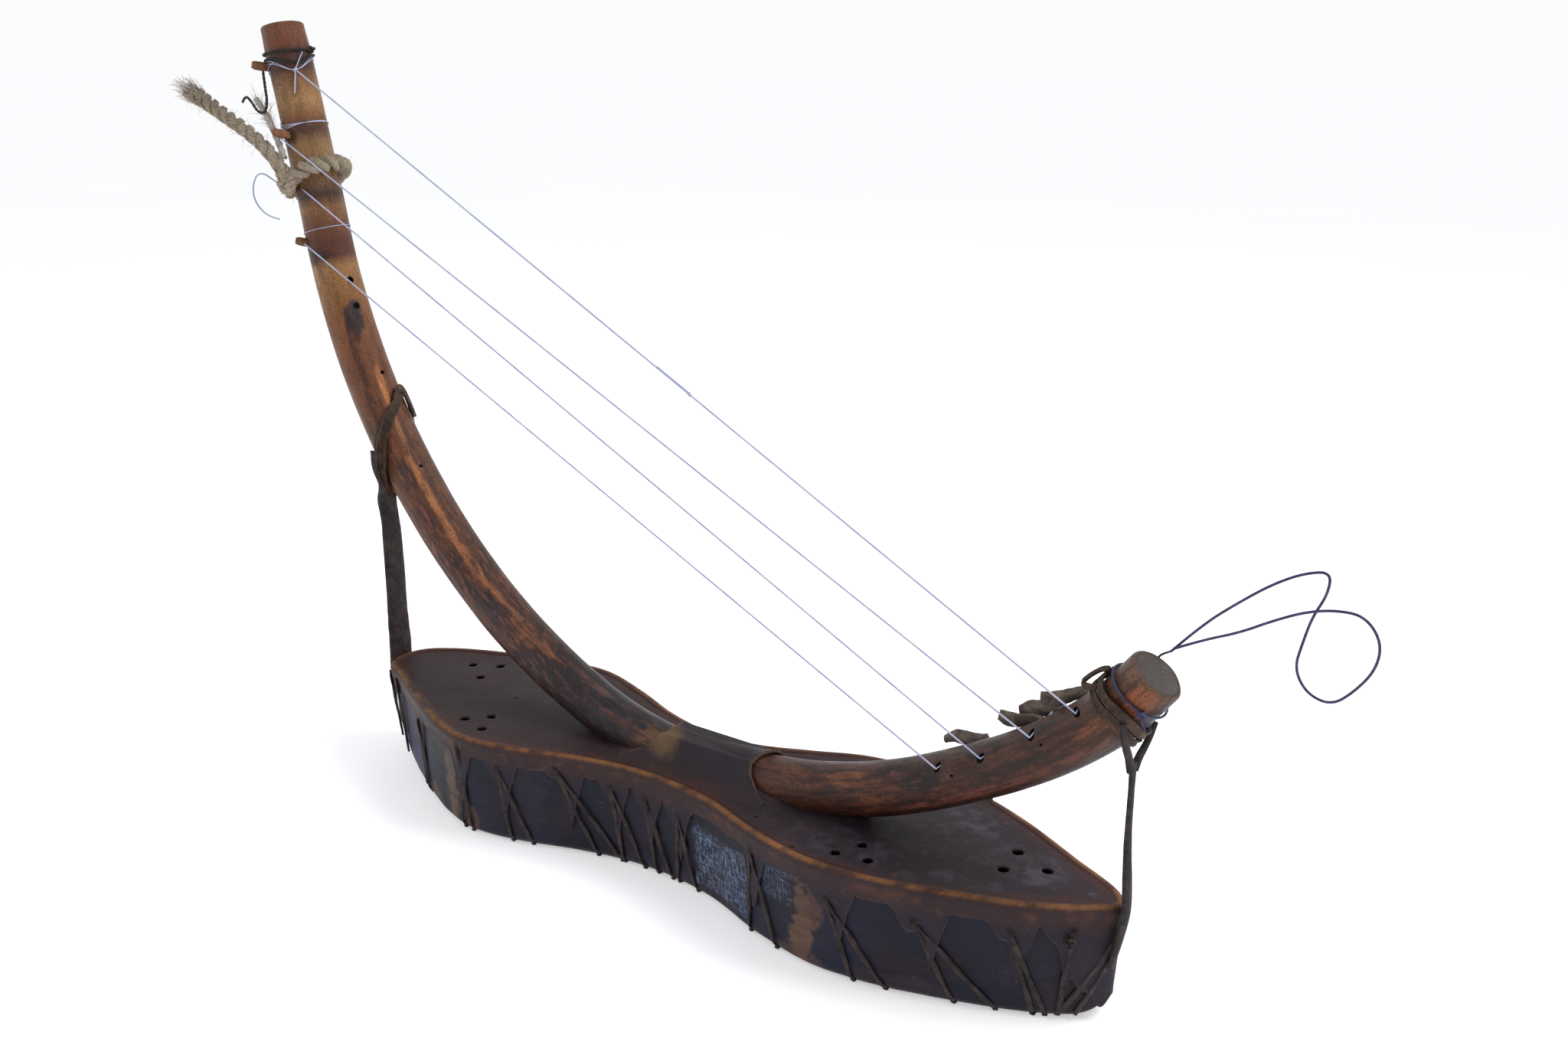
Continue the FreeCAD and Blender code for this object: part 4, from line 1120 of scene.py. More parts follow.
def strip_arrays():
    """The strip that laps over the bow, its two lips turned down and worn."""
    across = np.concatenate([np.linspace(-STRIP_HALF, -15.5, 16)[:-1], np.linspace(-15.5, 15.5, 64),
                             np.linspace(15.5, STRIP_HALF, 16)[1:]])
    left, right = lips(across)
    shares = np.concatenate([[-0.012, -0.008, 0], np.linspace(0, 1, 96)[1:-1], [1, 1.008, 1.012]])
    drops = np.concatenate([[1.6, 0.5, 0.0], np.zeros(94), [0.0, 0.5, 1.6]])
    rows = []
    for share, drop in zip(shares, drops):
        x = left + (right - left) * share
        ragged = wobble(np.column_stack([across, x, 0 * x]), 0.12, 6) * 1.1
        x = x + ragged * (abs(share - 0.5) * 2) ** 8
        swell = 0.55 * np.exp(-(share * (right - left) / 3.0) ** 2)
        swell = swell + 0.8 * np.exp(-((1 - share) * (right - left) / 3.5) ** 2)
        z = strip_height(x, across) + swell - drop
        fade = smoothstep(19, STRIP_HALF, abs(across))
        rows.append(np.column_stack([x, across, z - fade * 1.2]))
    vertices = np.concatenate(rows) * MM
    return vertices, flipped(grid_faces(len(rows), len(across)))


def hide_tint(vertices):
    """Broad colours of the skin: dark top, worn gold rim, reddish apron with a lighter hem, and painted
    shade at the lace holes.
    """
    x, y, z = vertices[:, 0] / MM, vertices[:, 1] / MM, vertices[:, 2] / MM
    ragged = octaves(vertices, (60, 2, 0.6), (200, 5, 0.45), (620, 8, 0.3))
    rim, place = nearest_outline(x, y)
    apron = smoothstep(57, 53, z)
    on_top = smoothstep(55.5, 57.2, z) * smoothstep(61, 59, z)
    left, right = lips(y)
    lip = np.minimum(abs(x - left), abs(x - right) * 1.8)
    lip_patch = np.hypot((x + 16) / 11, (y + 8) / 8) + ragged * 0.5
    pale = smoothstep(30, 150, x) * smoothstep(-0.05, 0.6, ragged) * smoothstep(3, 14, rim) * (1 - apron)
    hem = smoothstep(1.5, 0.5, z - apron_depth()[place]) * apron
    layers = ((srgb(62, 50, 52), smoothstep(-0.2, 0.7, ragged) * 0.5),
              (srgb(56, 39, 37), smoothstep(120, -60, x) * 0.5),
              (srgb(84, 80, 92), pale * 0.5),
              (srgb(40, 35, 42), smoothstep(59, 64, z) * 0.7),
              (srgb(84, 50, 36), smoothstep(11, 2, rim + ragged * 5) * smoothstep(55, 58, z) * 0.5),
              (srgb(52, 34, 36), apron * 0.85),
              (srgb(34, 30, 44), smoothstep(50, 42, z + ragged * 3) * 0.75),
              (srgb(98, 60, 42), apron * smoothstep(47, 55, z) * smoothstep(0.03, 0.48, ragged) * 0.6),
              (srgb(72, 58, 58), hem * 0.5),
              (srgb(132, 88, 52), smoothstep(1.15, 0.25, abs(rim - 0.7) + abs(ragged) * 1.2) * on_top
               * np.clip(0.7 + ragged * 1.6, 0.12, 1)),
              (srgb(104, 76, 56), smoothstep(2.6, 0.4, lip + ragged) * smoothstep(59, 62, z) * 0.5),
              (srgb(120, 92, 62), smoothstep(1.35, 0.3, lip_patch) * smoothstep(59, 62, z) * 0.7))
    colours = np.tile(np.array(srgb(46, 37, 43)), (len(x), 1))
    for colour, share in layers:
        colours = mix(colours, colour, share)
    # Painted shade: a near-black spot on the apron at each lace hole, which is not cut into the skin.
    for laces, side in WALL_LACES:
        for hole_x, height, *_ in laces:
            hole = wall_point(np.array([side(hole_x)]), height + 1.2, 1.6)[0]
            away = np.linalg.norm(vertices - hole, axis=1) / MM
            colours = mix(colours, srgb(12, 9, 10), smoothstep(2.2, 1.4, away))
    return colours


def nearest_outline(x, y):
    """Distance (mm) from each point to the outline, and the outline place nearest to it."""
    finer = 10
    dense = resample(np.concatenate([OUTLINE, OUTLINE[:1]]), AROUND * finer)
    tree = KDTree(len(dense))
    for index, (px, py) in enumerate(dense):
        tree.insert((px, py, 0), index)
    tree.balance()
    found = [tree.find((px, py, 0)) for px, py in zip(x, y)]
    return np.array([hit[2] for hit in found]), np.array([hit[1] // finer for hit in found])


def punch(flat, faces):
    """Open round holes in the flat skin: vertices near a circle move onto it, faces inside go."""
    inside = np.zeros(len(flat), bool)
    reach = 0.55        # vertices this near to a circle (mm) move onto it
    for places, radius in ((SOUND_HOLES, 2.8), (SMALL_HOLES, 1.1)):
        for centre in places:
            away = flat - np.array(centre)
            distance = np.hypot(away[:, 0], away[:, 1])
            edge = (distance > radius - reach) & (distance < radius + reach)
            flat[edge] = centre + away[edge] / distance[edge, None] * radius
            inside |= distance <= radius + reach
    return flat, [face for face in faces if not all(inside[i] for i in face)]


# ------------------------------------------------------------------ lacing
def flat_lace(line, outward, width, thickness, twist=0.0):
    """Thong with a flat section along a line; its width lies square to the outward directions."""
    tangent = unit(np.gradient(line, axis=0))
    side = unit(np.cross(outward, tangent))
    up = np.cross(tangent, side)
    turn = twist * np.sin(np.linspace(0, 1, len(line)) * 9.0)
    side, up = (side * np.cos(turn)[:, None] + up * np.sin(turn)[:, None],
                up * np.cos(turn)[:, None] - side * np.sin(turn)[:, None])
    angles = np.linspace(0, 2 * math.pi, 12, endpoint=False)
    half = np.broadcast_to(width, len(line)) / 2
    rings = [p + h * np.cos(angles)[:, None] * s + thickness / 2 * np.sin(angles)[:, None] * u
             for p, h, s, u in zip(line, half, side, up)]
    return np.concatenate(rings), tube_faces(len(line), 12)


def wall_lace(x, height, foot, side, seed):
    """One strand from an apron hole down the wall to the base's edge."""
    share = np.linspace(0, 1, 46)
    place = side(x) + (side(foot) - side(x)) * share
    low = underside(np.array([foot]))[0]
    z = height + 0.5 + (low + 0.1 - height) * share
    lift = 1.3 - 0.5 * smoothstep(0.5, 0.9, share) + 0.25 * np.sin(share * 7 + seed)
    lift = lift + 0.9 * smoothstep(0.35, 0.05, share)
    lift = lift - 1.6 * smoothstep(0.05, 0.0, share) - 1.6 * smoothstep(0.92, 1, share)
    line = wall_point(place, z, lift)
    line[:, 2] = np.maximum(line[:, 2], 0.0009)
    width = (2.5 + 0.4 * np.sin(share * 11 + seed) + 0.2 * np.sin(share * 23 + seed * 2)) * MM
    return flat_lace(line, wall_outward(place), width, 1.0 * MM, 0.25)


def build_lacing():
    """Pairs of thongs from each apron hole to the base, thongs across under it, and the end's knot."""
    for name, (laces, side) in zip(("lacing_front", "lacing_rear"), WALL_LACES):
        strands = [wall_lace(x, height, foot, side, number * 1.7 + k)
                   for number, (x, height, *feet) in enumerate(laces) for k, foot in enumerate(feet)]
        piece(f"{name}_thongs", merge_arrays(strands), "lace_leather", name)
    strands = [base_lace(near_x, far_x) for front, rear in zip(LACES_FRONT[1:-1], LACES_REAR[1:])
               for near_x, far_x in ((front[2], rear[3]), (front[3], rear[2]))]
    piece("lacing_under_thongs", merge_arrays(strands), "lace_leather", "lacing_base")
    knot = knot_arrays((0.2165, -0.0204, 0.042), 2.9 * MM, 1.2 * MM, 3)
    piece("lace_end_knot", knot, "lace_leather", "lace_knot")


def base_lace(near_x, far_x):
    """One strand under the base, from the front edge to the rear edge."""
    start = wall_point(np.array([front_place(near_x)]), 0.7, -0.5)[0]
    end = wall_point(np.array([rear_place(far_x)]), 0.7, -0.5)[0]
    share = np.linspace(0, 1, 24)[:, None]
    line = start * (1 - share) + end * share
    line[:, 2] = 0.0008
    return flat_lace(line, np.tile([0, 0, -1.0], (24, 1)), np.full(24, 2.6 * MM), 1.1 * MM)


def knot_arrays(centre, radius, thickness, seed):
    """A small knot: a strand wound round itself in a trefoil path."""
    t = np.linspace(0, 2 * math.pi, 90)
    rng = np.random.default_rng(seed)
    path = np.column_stack([np.sin(t) + 2 * np.sin(2 * t), np.cos(t) - 2 * np.cos(2 * t), -np.sin(3 * t)])
    path = path / 3.0 * (radius - thickness / 2)
    turn, _ = np.linalg.qr(rng.normal(size=(3, 3)))
    return tube_arrays(np.array(centre) + path @ turn.T, thickness / 2 * 1.25, 9)


# ------------------------------------------------------------------ straps
def strap_arrays(line, across, width, thickness, ripple, seed):
    """Leather strip along a line; across gives its width's direction at each point."""
    tangent = unit(np.gradient(line, axis=0))
    side = unit(across - tangent * np.sum(across * tangent, axis=1)[:, None])
    up = np.cross(tangent, side)
    columns = np.linspace(-1, 1, 15)
    profile = np.concatenate([columns, columns[::-1][1:-1]])
    layer = np.concatenate([np.ones(15), -np.ones(13)])
    rounded = np.sqrt(np.clip(1 - abs(profile) ** 5, 0.05, 1)) * layer
    width = np.broadcast_to(width, len(line))
    edge = 1 + ripple * wobble(line, 45, seed) + ripple * 0.25 * wobble(line, 220, seed + 3)
    bend = ripple * 0.003 * wobble(line, 50, seed + 9)
    cup = ripple * 0.004
    rings = []
    for p, s, u, w, e, b in zip(line, side, up, width, edge, bend):
        ring = p + (profile * w / 2 * e)[:, None] * s
        ring = ring + (rounded * thickness / 2 + b + cup * profile ** 2)[:, None] * u
        rings.append(ring)
    return np.concatenate(rings), flipped(tube_faces(len(line), len(profile)))


def blended_directions(keys, count):
    """Directions between given (share, direction) keys, normalised."""
    return unit(interpolate(np.linspace(0, 1, count), *zip(*keys)))


def widths(shares, values_mm, count):
    """Widths in metres between given values (mm) at shares of a strap's length."""
    return np.interp(np.linspace(0, 1, count), shares, values_mm) * MM


def band_across(line, centre, tilt=0.0):
    """Width directions of a band that lies on the bow; tilt lifts one edge."""
    outward = line - centre
    return unit(np.cross(outward, np.gradient(line, axis=0)) + outward * tilt)


LEFT_STRAP_LINE = [(-0.2336, 0.007, 0.034), (-0.2346, 0.0075, 0.05), (-0.2342, 0.0075, 0.062),
                   (-0.232, 0.0055, 0.09), (-0.2298, 0.004, 0.12), (-0.2268, 0.001, 0.145),
                   (-0.2232, -0.0035, 0.161), *on_bow([256, 247, 239], [36, 58, 84], [2.6, 2.2, 1.9])]
LEFT_STRAP_ACROSS = [(0, (0.1, 0.99, 0)), (0.5, (0.08, 0.99, 0)), (0.72, (0.2, 0.97, 0.1)),
                     (0.88, (0.75, 0.5, 0.3)), (1, (0.8, 0.2, 0.5))]
# The wrap round the neck: arc length, angle and lift off the bow.
LEFT_WRAP = [(262, 22, 2.2), (255, 50, 1.8), (249, 74, 1.4), (243, 92, 1.2), (237, 105, 1.2),
             (230, 128, 1.3), (225, 148, 1.6), (220, 168, 2.2), (215, 184, 2.4), (212, 200, 1.8),
             (211, 214, 1.4), (216, 228, 1.2), (224, 248, 1.2), (233, 272, 1.2), (244, 300, 1.3),
             (254, 330, 1.6), (261, 366, 2.4)]
LEFT_FOLD = [(262, 40, 2.4), (251, 66, 2.6), (240, 92, 2.8), (232, 112, 2.6), (223, 142, 2.8),
             (216, 172, 3.2)]
LEFT_TONGUE = [(218, 172, 1.8), (213, 182, 2.6), (210, 194, 2.6), (212, 206, 2.2), (218, 214, 1.9),
               (228, 216, 1.4)]


def build_left_strap():
    """Broad strap from the blunt end to the neck, and its wrap: a band, a fold over it and a tongue."""
    count = 130
    arrays = strap_arrays(spline(LEFT_STRAP_LINE, count), blended_directions(LEFT_STRAP_ACROSS, count),
                          widths([0, 0.12, 0.3, 0.6, 0.8, 1], [14.5, 15.5, 14.8, 13.5, 10.5, 8], count),
                          1.6 * MM, 0.12, 2)
    piece("left_strap_leather", arrays, "strap_leather", "left_strap")
    band_stations = np.linspace(0, 1, len(LEFT_WRAP))
    parts = []
    for route, shares, stations, tilt, width, thickness, ripple, seed in (
            (LEFT_WRAP, band_stations, [row[0] for row in LEFT_WRAP], 0.0,
             widths([0, 0.15, 0.3, 0.42, 0.55, 0.8, 1], [10, 9.5, 7.5, 4.4, 5, 7, 9], 200), 1.3, 0.22, 5),
            (LEFT_FOLD, [0, 1], [262, 216], 0.12, widths([0, 1], [5, 2.6], 90), 1.1, 0.3, 8),
            (LEFT_TONGUE, [0, 0.4, 1], [218, 210, 228], 0.0, widths([0, 1], [3.4, 5.2], 60), 1.2, 0.25, 4)):
        line = spline(on_bow(*zip(*route)), len(width))
        centre = bow_values(widths(shares, stations, len(width)))[0]
        across = band_across(line, centre, tilt)
        parts.append(strap_arrays(line, across, width, thickness * MM, ripple, seed))
    piece("left_strap_turns", merge_arrays(parts), "wrap_leather", "left_strap_wrap")
    build_prow_flaps()


def build_prow_flaps():
    """Thongs that converge under the strap at the blunt end."""
    strands = []
    share = np.linspace(0, 1, 36)
    start_z = 53
    for top, foot, lift in ((4, 12, 2.6), (12, 22, 2.4), (24, 30, 2.4), (AROUND - 8, AROUND - 16, 2.4)):
        place = top + (foot - top) * share
        low = underside(OUTLINE[np.mod(place.round().astype(int), AROUND), 0])
        line = wall_point(place, start_z + (low + 1.0 - start_z) * share, lift - 1.2 * share)
        width = (3.2 + 0.6 * np.sin(share * 9 + top)) * MM
        strands.append(flat_lace(line, wall_outward(place), width, 1.3 * MM, 0.4))
    piece("prow_thongs", merge_arrays(strands), "lace_leather")


RIGHT_STRAP_LINE = [(0.2318, -0.0098, 0.03), (0.2342, -0.008, 0.042), (0.2354, -0.0058, 0.056),
                    (0.2347, -0.0046, 0.066), (0.2325, -0.0036, 0.088), (0.2318, -0.0032, 0.108),
                    (0.2315, -0.003, 0.126)]
RIGHT_STRAP_ACROSS = [(0, (0.25, 0.97, 0)), (0.4, (0.25, 0.97, 0)), (0.6, (0.4, 0.9, 0)),
                      (0.8, (0.2, 0.98, 0)), (1, (0.0, 1, 0))]
RIGHT_FORKS = [[(0.2315, -0.0045, 0.1215), (0.2312, -0.0075, 0.129), (0.2308, -0.0112, 0.1355),
                (0.2306, -0.0138, 0.1415), (0.2296, -0.0152, 0.1475)],
               [(0.2315, -0.0018, 0.1215), (0.2322, 0.002, 0.1285), (0.2332, 0.0065, 0.1345),
                (0.234, 0.0098, 0.1405)]]


def build_right_strap():
    """Narrow strap from the pointed end to the short arm: forked top, two strands at its foot."""
    count = 150
    width = widths([0, 0.2, 0.38, 0.5, 0.7, 0.88, 1], [4.2, 5.4, 6.0, 5.0, 3.6, 3.8, 6.5], count)
    parts = [strap_arrays(spline(RIGHT_STRAP_LINE, count), blended_directions(RIGHT_STRAP_ACROSS, count),
                          width, 1.7 * MM, 0.16, 3)]
    across = np.tile([0.5, 0.6, 0.6], (50, 1)) + np.linspace(0, 0.5, 50)[:, None] * np.array([0, -1.0, 0])
    for seed, fork in enumerate(RIGHT_FORKS, start=4):
        width = widths([0, 1], [3.8, 3.0], 50)
        parts.append(strap_arrays(spline(fork, 50), across, width, 1.5 * MM, 0.2, seed))
    share = np.linspace(0, 1, 40)
    start = RIGHT_TIP - 2
    for foot_x, start_z, width in ((212.5, 46, 2.6), (219, 39, 2.2)):
        place = start + (front_place(foot_x) - start) * share ** 1.3
        strand = wall_point(place, start_z + (3 - start_z) * share, 2.9 - 1.7 * smoothstep(0, 0.5, share))
        parts.append(flat_lace(strand, wall_outward(place), width * MM, 1.2 * MM, 0.2))
    piece("right_strap_leather", merge_arrays(parts), "strap_leather", "right_strap")
    build_arm_wrap()


def build_arm_wrap():
    """Two turns of leather round the short arm with a small loop on top."""
    parts = []
    for offset, start_lift in ((0.0, 1.2), (-5.0, 1.0)):
        degrees = np.linspace(-70, 290, 120)
        along = 757 + offset - 6 * smoothstep(100, 20, degrees) + 2 * np.sin(np.radians(degrees * 2))
        line = on_bow(along, degrees, start_lift + 0.25 * np.sin(np.radians(degrees * 5 + offset)))
        width = (3.9 + 0.9 * np.sin(np.radians(degrees * 1.5))) * MM
        across = band_across(line, bow_values(along * MM)[0])
        parts.append(strap_arrays(line, across, width, 1.3 * MM, 0.22, 6 + offset))
    loop = spline(on_bow([753, 750, 747, 749, 755, 759], [150, 156, 166, 178, 184, 176],
                         [1.6, 3.4, 4.4, 4.4, 3.4, 1.6]), 60)
    across = np.tile([0.0, 1.0, 0.25], (60, 1))
    parts.append(strap_arrays(loop, across, 3.4 * MM, 1.3 * MM, 0.2, 4))
    piece("right_strap_turns", merge_arrays(parts), "wrap_leather", "right_strap_wrap")


# ------------------------------------------------------------------ cords
# The routes are the CAD tubes' points in metres.
ROPE_TAIL = [(-0.266, -0.019, 0.3405), (-0.274, -0.0235, 0.355), (-0.29, -0.0245, 0.3645),
             (-0.308, -0.0245, 0.372), (-0.325, -0.0235, 0.379), (-0.342, -0.0215, 0.3845)]
THIN_TAIL = [(-0.2725, -0.015, 0.3505), (-0.277, -0.0145, 0.3585), (-0.2825, -0.0135, 0.3665),
             (-0.2885, -0.0125, 0.374), (-0.296, -0.0125, 0.381)]
STRING_TAIL = [(-0.2798, -0.0162, 0.3372), (-0.2848, -0.0155, 0.3386), (-0.2905, -0.016, 0.3414),
               (-0.297, -0.016, 0.3405), (-0.3016, -0.016, 0.334), (-0.3016, -0.016, 0.3265),
               (-0.2965, -0.0155, 0.3205), (-0.2895, -0.015, 0.3173), (-0.2825, -0.0145, 0.3166)]
TIE_TAIL = [(-0.2845, -0.0145, 0.396), (-0.2836, -0.015, 0.3875), (-0.2818, -0.0155, 0.38),
            (-0.2845, -0.016, 0.3734), (-0.291, -0.016, 0.3746), (-0.2954, -0.016, 0.3802),
            (-0.301, -0.0155, 0.383), (-0.3045, -0.015, 0.3792)]
HANGING_WIRE = [(0.239, 0.0085, 0.1738), (0.2505, 0.009, 0.188), (0.264, 0.0095, 0.2005),
                (0.276, 0.01, 0.2105), (0.287, 0.0105, 0.217), (0.2966, 0.011, 0.2194),
                (0.2962, 0.0115, 0.21), (0.2915, 0.012, 0.1995), (0.289, 0.0125, 0.188),
                (0.287, 0.0125, 0.1765), (0.293, 0.012, 0.1675), (0.303, 0.011, 0.1655),
                (0.311, 0.01, 0.174), (0.3176, 0.009, 0.185), (0.3185, 0.008, 0.1965),
                (0.3115, 0.0075, 0.2058), (0.301, 0.007, 0.206), (0.29, 0.0065, 0.203),
                (0.278, 0.0065, 0.1965), (0.266, 0.0065, 0.1888), (0.2515, 0.007, 0.182),
                (0.24, 0.0075, 0.1753)]


def cord_curve(name, points, thickness, paint_name, *nodes):
    """A cord as one open NURBS curve; returns it and the points along its line."""
    data = bpy.data.curves.new(name, "CURVE")
    data.dimensions = "3D"
    data.resolution_u = 14
    route = data.splines.new("NURBS")
    route.points.add(len(points) - 1)
    for target, point in zip(route.points, points):
        target.co = (*point, 1)
        target.radius = thickness / 2
    route.order_u = 3
    route.use_endpoint_u = True
    made = add_object(name, data)
    bare = bpy.data.meshes.new_from_object(made)
    line = np.array([tuple(v.co) for v in bare.vertices])
    bpy.data.meshes.remove(bare)
    data.bevel_depth = 1.0
    data.bevel_resolution = 4
    data.use_fill_caps = True
    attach(made, BODY)
    dressed(made, paint_name, *nodes)
    return made, line


def strand_round(line, offset, thickness, pitch, phase, flare=0.0, *, seed, sides=8, taper=0.3):
    """A strand that winds round a line, drifting outwards at the end by flare."""
    count = max(40, int(lengths_along(line)[-1] / 0.0006))
    line = resample(line, count)
    _, first, second = frames_along(line)
    along = lengths_along(line)
    share = along / along[-1]
    angle = 2 * math.pi * along / pitch + phase
    loose = wobble(np.column_stack([share * 4 + seed, share * 0 + phase, share * 0]), 1.0, seed) * 0.12
    reach = offset * (1 + loose) + flare * share ** 3
    path = line + reach[:, None] * (np.cos(angle)[:, None] * first + np.sin(angle)[:, None] * second)
    radii = thickness / 2 * (1 + 0.1 * np.sin(along / 0.0011 + phase) - taper * share ** 4)
    return tube_arrays(path, radii, sides)


def loose_fibre(start, direction, length, thickness, bend, rng):
    """A hair of jute that leaves the rope and curls."""
    direction = unit(direction)
    aside = rng.normal(size=3)
    aside = unit(aside - direction * (aside @ direction))
    share = np.linspace(0, 1, 12)[:, None]
    path = start + direction * length * share + aside * bend * length * share ** 2
    path = path + np.array([0, 0, -0.25]) * length * share ** 2 * bend
    return tube_arrays(path, thickness / 2 * np.linspace(1, 0.5, 12), 5)


def build_rope_ring():
    """Two strands of jute twisted round the neck, knotted at the front left."""
    ring = ring_on_bow(340, 0.34, 3.5, start=60, count=240)
    ring[:, 2] += 0.0006 * np.sin(np.linspace(0, 4 * math.pi, 240))
    parts = []
    pitch = 13 * MM
    for number in range(2):
        phase = number * math.pi
        parts.append(strand_round(ring, 2.2 * MM, 4.2 * MM, pitch, phase, seed=number, taper=0))
        for hair in range(6):
            parts.append(strand_round(ring, (4.0 + 0.3 * math.sin(hair)) * MM, 0.8 * MM, pitch,
                                      phase - 0.5 + hair * 0.2, seed=hair + number * 7, sides=5, taper=0))
    line = spline(on_bow([83, 80, 77, 80, 85, 88, 85, 81], [72, 58, 74, 98, 90, 72, 60, 76],
                         [4, 6, 6.5, 5.2, 5.4, 4, 6.4, 7]), 120)
    for number in range(3):
        parts.append(strand_round(line, 1.5 * MM, 3.3 * MM, 11 * MM, number * 2.1, seed=number + 20,
                                  taper=0.2))
    rng = np.random.default_rng(5)
    middle = bow_values(0.084)[0][0]
    for _ in range(60):
        index = rng.integers(0, 240)
        outward = ring[index] - middle
        start = ring[index] + unit(outward) * 3.2 * MM
        parts.append(loose_fibre(start, outward + rng.normal(size=3) * 0.012, rng.uniform(1.5, 4) * MM,
                                 0.25 * MM, rng.uniform(0.3, 1.2), rng))
    piece("rope_ring_strands", merge_arrays(parts), "jute", "neck_rope_ring")


def build_rope_tail(rng):
    """The rope's end: a core, its twisted strands and the frayed, paler tip."""
    tail, line = cord_curve("rope_tail_core", ROPE_TAIL, 5.4 * MM, "jute", "neck_rope_tail")
    parts = []
    pitch = 24 * MM
    for number in range(3):
        phase = number * 2 * math.pi / 3
        parts.append(strand_round(line, 2.2 * MM, 3.5 * MM, pitch, phase, 0.6 * MM, seed=number + 3))
        for hair in range(5):
            parts.append(strand_round(line, 3.4 * MM, 0.8 * MM, pitch, phase - 0.5 + hair * 0.25,
                                      1.2 * MM, seed=hair + number * 5, sides=5))
    strands = piece("rope_tail_strands", merge_arrays(parts), "jute")
    brush = piece("rope_tail_fray", merge_arrays(frayed_end(line, rng)), "jute_end")


def frayed_end(line, rng):
    """A brush of fibres at the end of the rope's line and single hairs along it."""
    run = unit(line[-1] - line[-4])
    fray = [loose_fibre(line[-1] - run * rng.uniform(0, 12) * MM + rng.normal(size=3) * 1.7 * MM,
                        run + rng.normal(size=3) * 0.2, rng.uniform(8, 14) * MM, 0.5 * MM,
                        rng.uniform(-0.15, 0.25), rng) for _ in range(300)]
    for _ in range(90):
        index = rng.integers(4, len(line) - 4)
        outward = unit(np.cross(line[index + 1] - line[index - 1], rng.normal(size=3)))
        fray.append(loose_fibre(line[index] + outward * 3.0 * MM, outward + run * 0.8,
                                rng.uniform(2, 5) * MM, 0.22 * MM, rng.uniform(0.2, 1.0), rng))
    return fray


def build_thin_tail(rng):
    """A second, thinner end of the rope, all frayed."""
    thin, line = cord_curve("thin_tail_core", THIN_TAIL, 3.0 * MM, "jute_end", "neck_thin_tail")
    parts = [strand_round(line, 1.0 * MM, 2.0 * MM, 9 * MM, number * math.pi, seed=number + 30)
             for number in range(2)]
    for _ in range(70):
        index = rng.integers(len(line) // 3, len(line))
        start = line[index] + rng.normal(size=3) * 0.7 * MM
        aim = np.array([-0.25, -0.2, 0.9]) + rng.normal(size=3) * 0.4
        parts.append(loose_fibre(start, aim, rng.uniform(4, 11) * MM, 0.3 * MM,
                                 rng.uniform(-0.3, 0.6), rng))
    hairs = piece("thin_tail_strands", merge_arrays(parts), "jute_end")


def build_tie_cord():
    """A ring and a sagging loop of black cord round the neck's top, their knot and the hanging end."""
    parts = []
    pitch = 4.5 * MM
    turn = np.linspace(-60, 300, 160)
    sag = on_bow(17.6 + 4.6 * np.exp(-((turn - 155) / 46) ** 2), turn, 0.9)
    for ring in (ring_on_bow(405.4, -0.08, 0.9, start=-60, count=160), sag):
        parts += [strand_round(ring, 0.36 * MM, 0.9 * MM, pitch, k * math.pi, seed=k, taper=0)
                  for k in range(2)]
    parts.append(knot_arrays(on_bow(15.8, 205, 1.6)[0], 2.4 * MM, 1.3 * MM, 4))
    piece("tie_cord_turns", merge_arrays(parts), "black_cord", "neck_tie_cord")
    tail, line = cord_curve("tie_tail_core", TIE_TAIL, 1.3 * MM, "black_cord", "tie_cord_tail")
    twist = [strand_round(line, 0.4 * MM, 0.85 * MM, pitch, k * math.pi, seed=k + 8, taper=0.2)
             for k in range(2)]
    strands = piece("tie_tail_strands", merge_arrays(twist), "black_cord")


# ------------------------------------------------------------------ strings and pegs
def build_strings():
    """Four taut strings from their neck windings to their toggles."""
    for number, ((foot, top), toggle) in enumerate(zip(STRINGS, TOGGLES), start=1):
        foot, top = np.array(foot), np.array(top)
        back = foot + (toggle_hitch(toggle) - foot) * 0.86
        span = top + (foot - top) * np.linspace(0, 1, 60)[:, None]
        behind = foot + (back - foot) * np.linspace(0, 1, 12)[1:, None]
        parts = [tube_arrays(np.concatenate([span, behind]), 0.42 * MM, 10)]
        if number == 4:
            knot = top + (foot - top) * 0.57
            end = unit(foot - top) * 0.022
            parts.append(knot_arrays(knot, 1.1 * MM, 0.7 * MM, 2))
            parts.append(tube_arrays(knot + np.array([0, 0, 0.0006]) - np.linspace(0, 1, 14)[:, None] * end,
                                     0.35 * MM))
        piece(f"string_{number}_line", merge_arrays(parts), "string_line", f"string_{number}")


# Height and lean of each turn of string round the neck.
WINDINGS = {"string_winding_upper": ((367.6, -0.04), (366.6, 0.06), (365.6, 0.16)),
            "string_winding_lower": ((311, 0.08),)}
KNOT_ALONG, KNOT_ANGLE = 26.2, 149


def winding_strand(along, degrees, lift=0.5, radius=0.2):
    """A short piece of string along the bow's surface."""
    return tube_arrays(spline(on_bow(along, degrees, lift), 40), radius * MM)


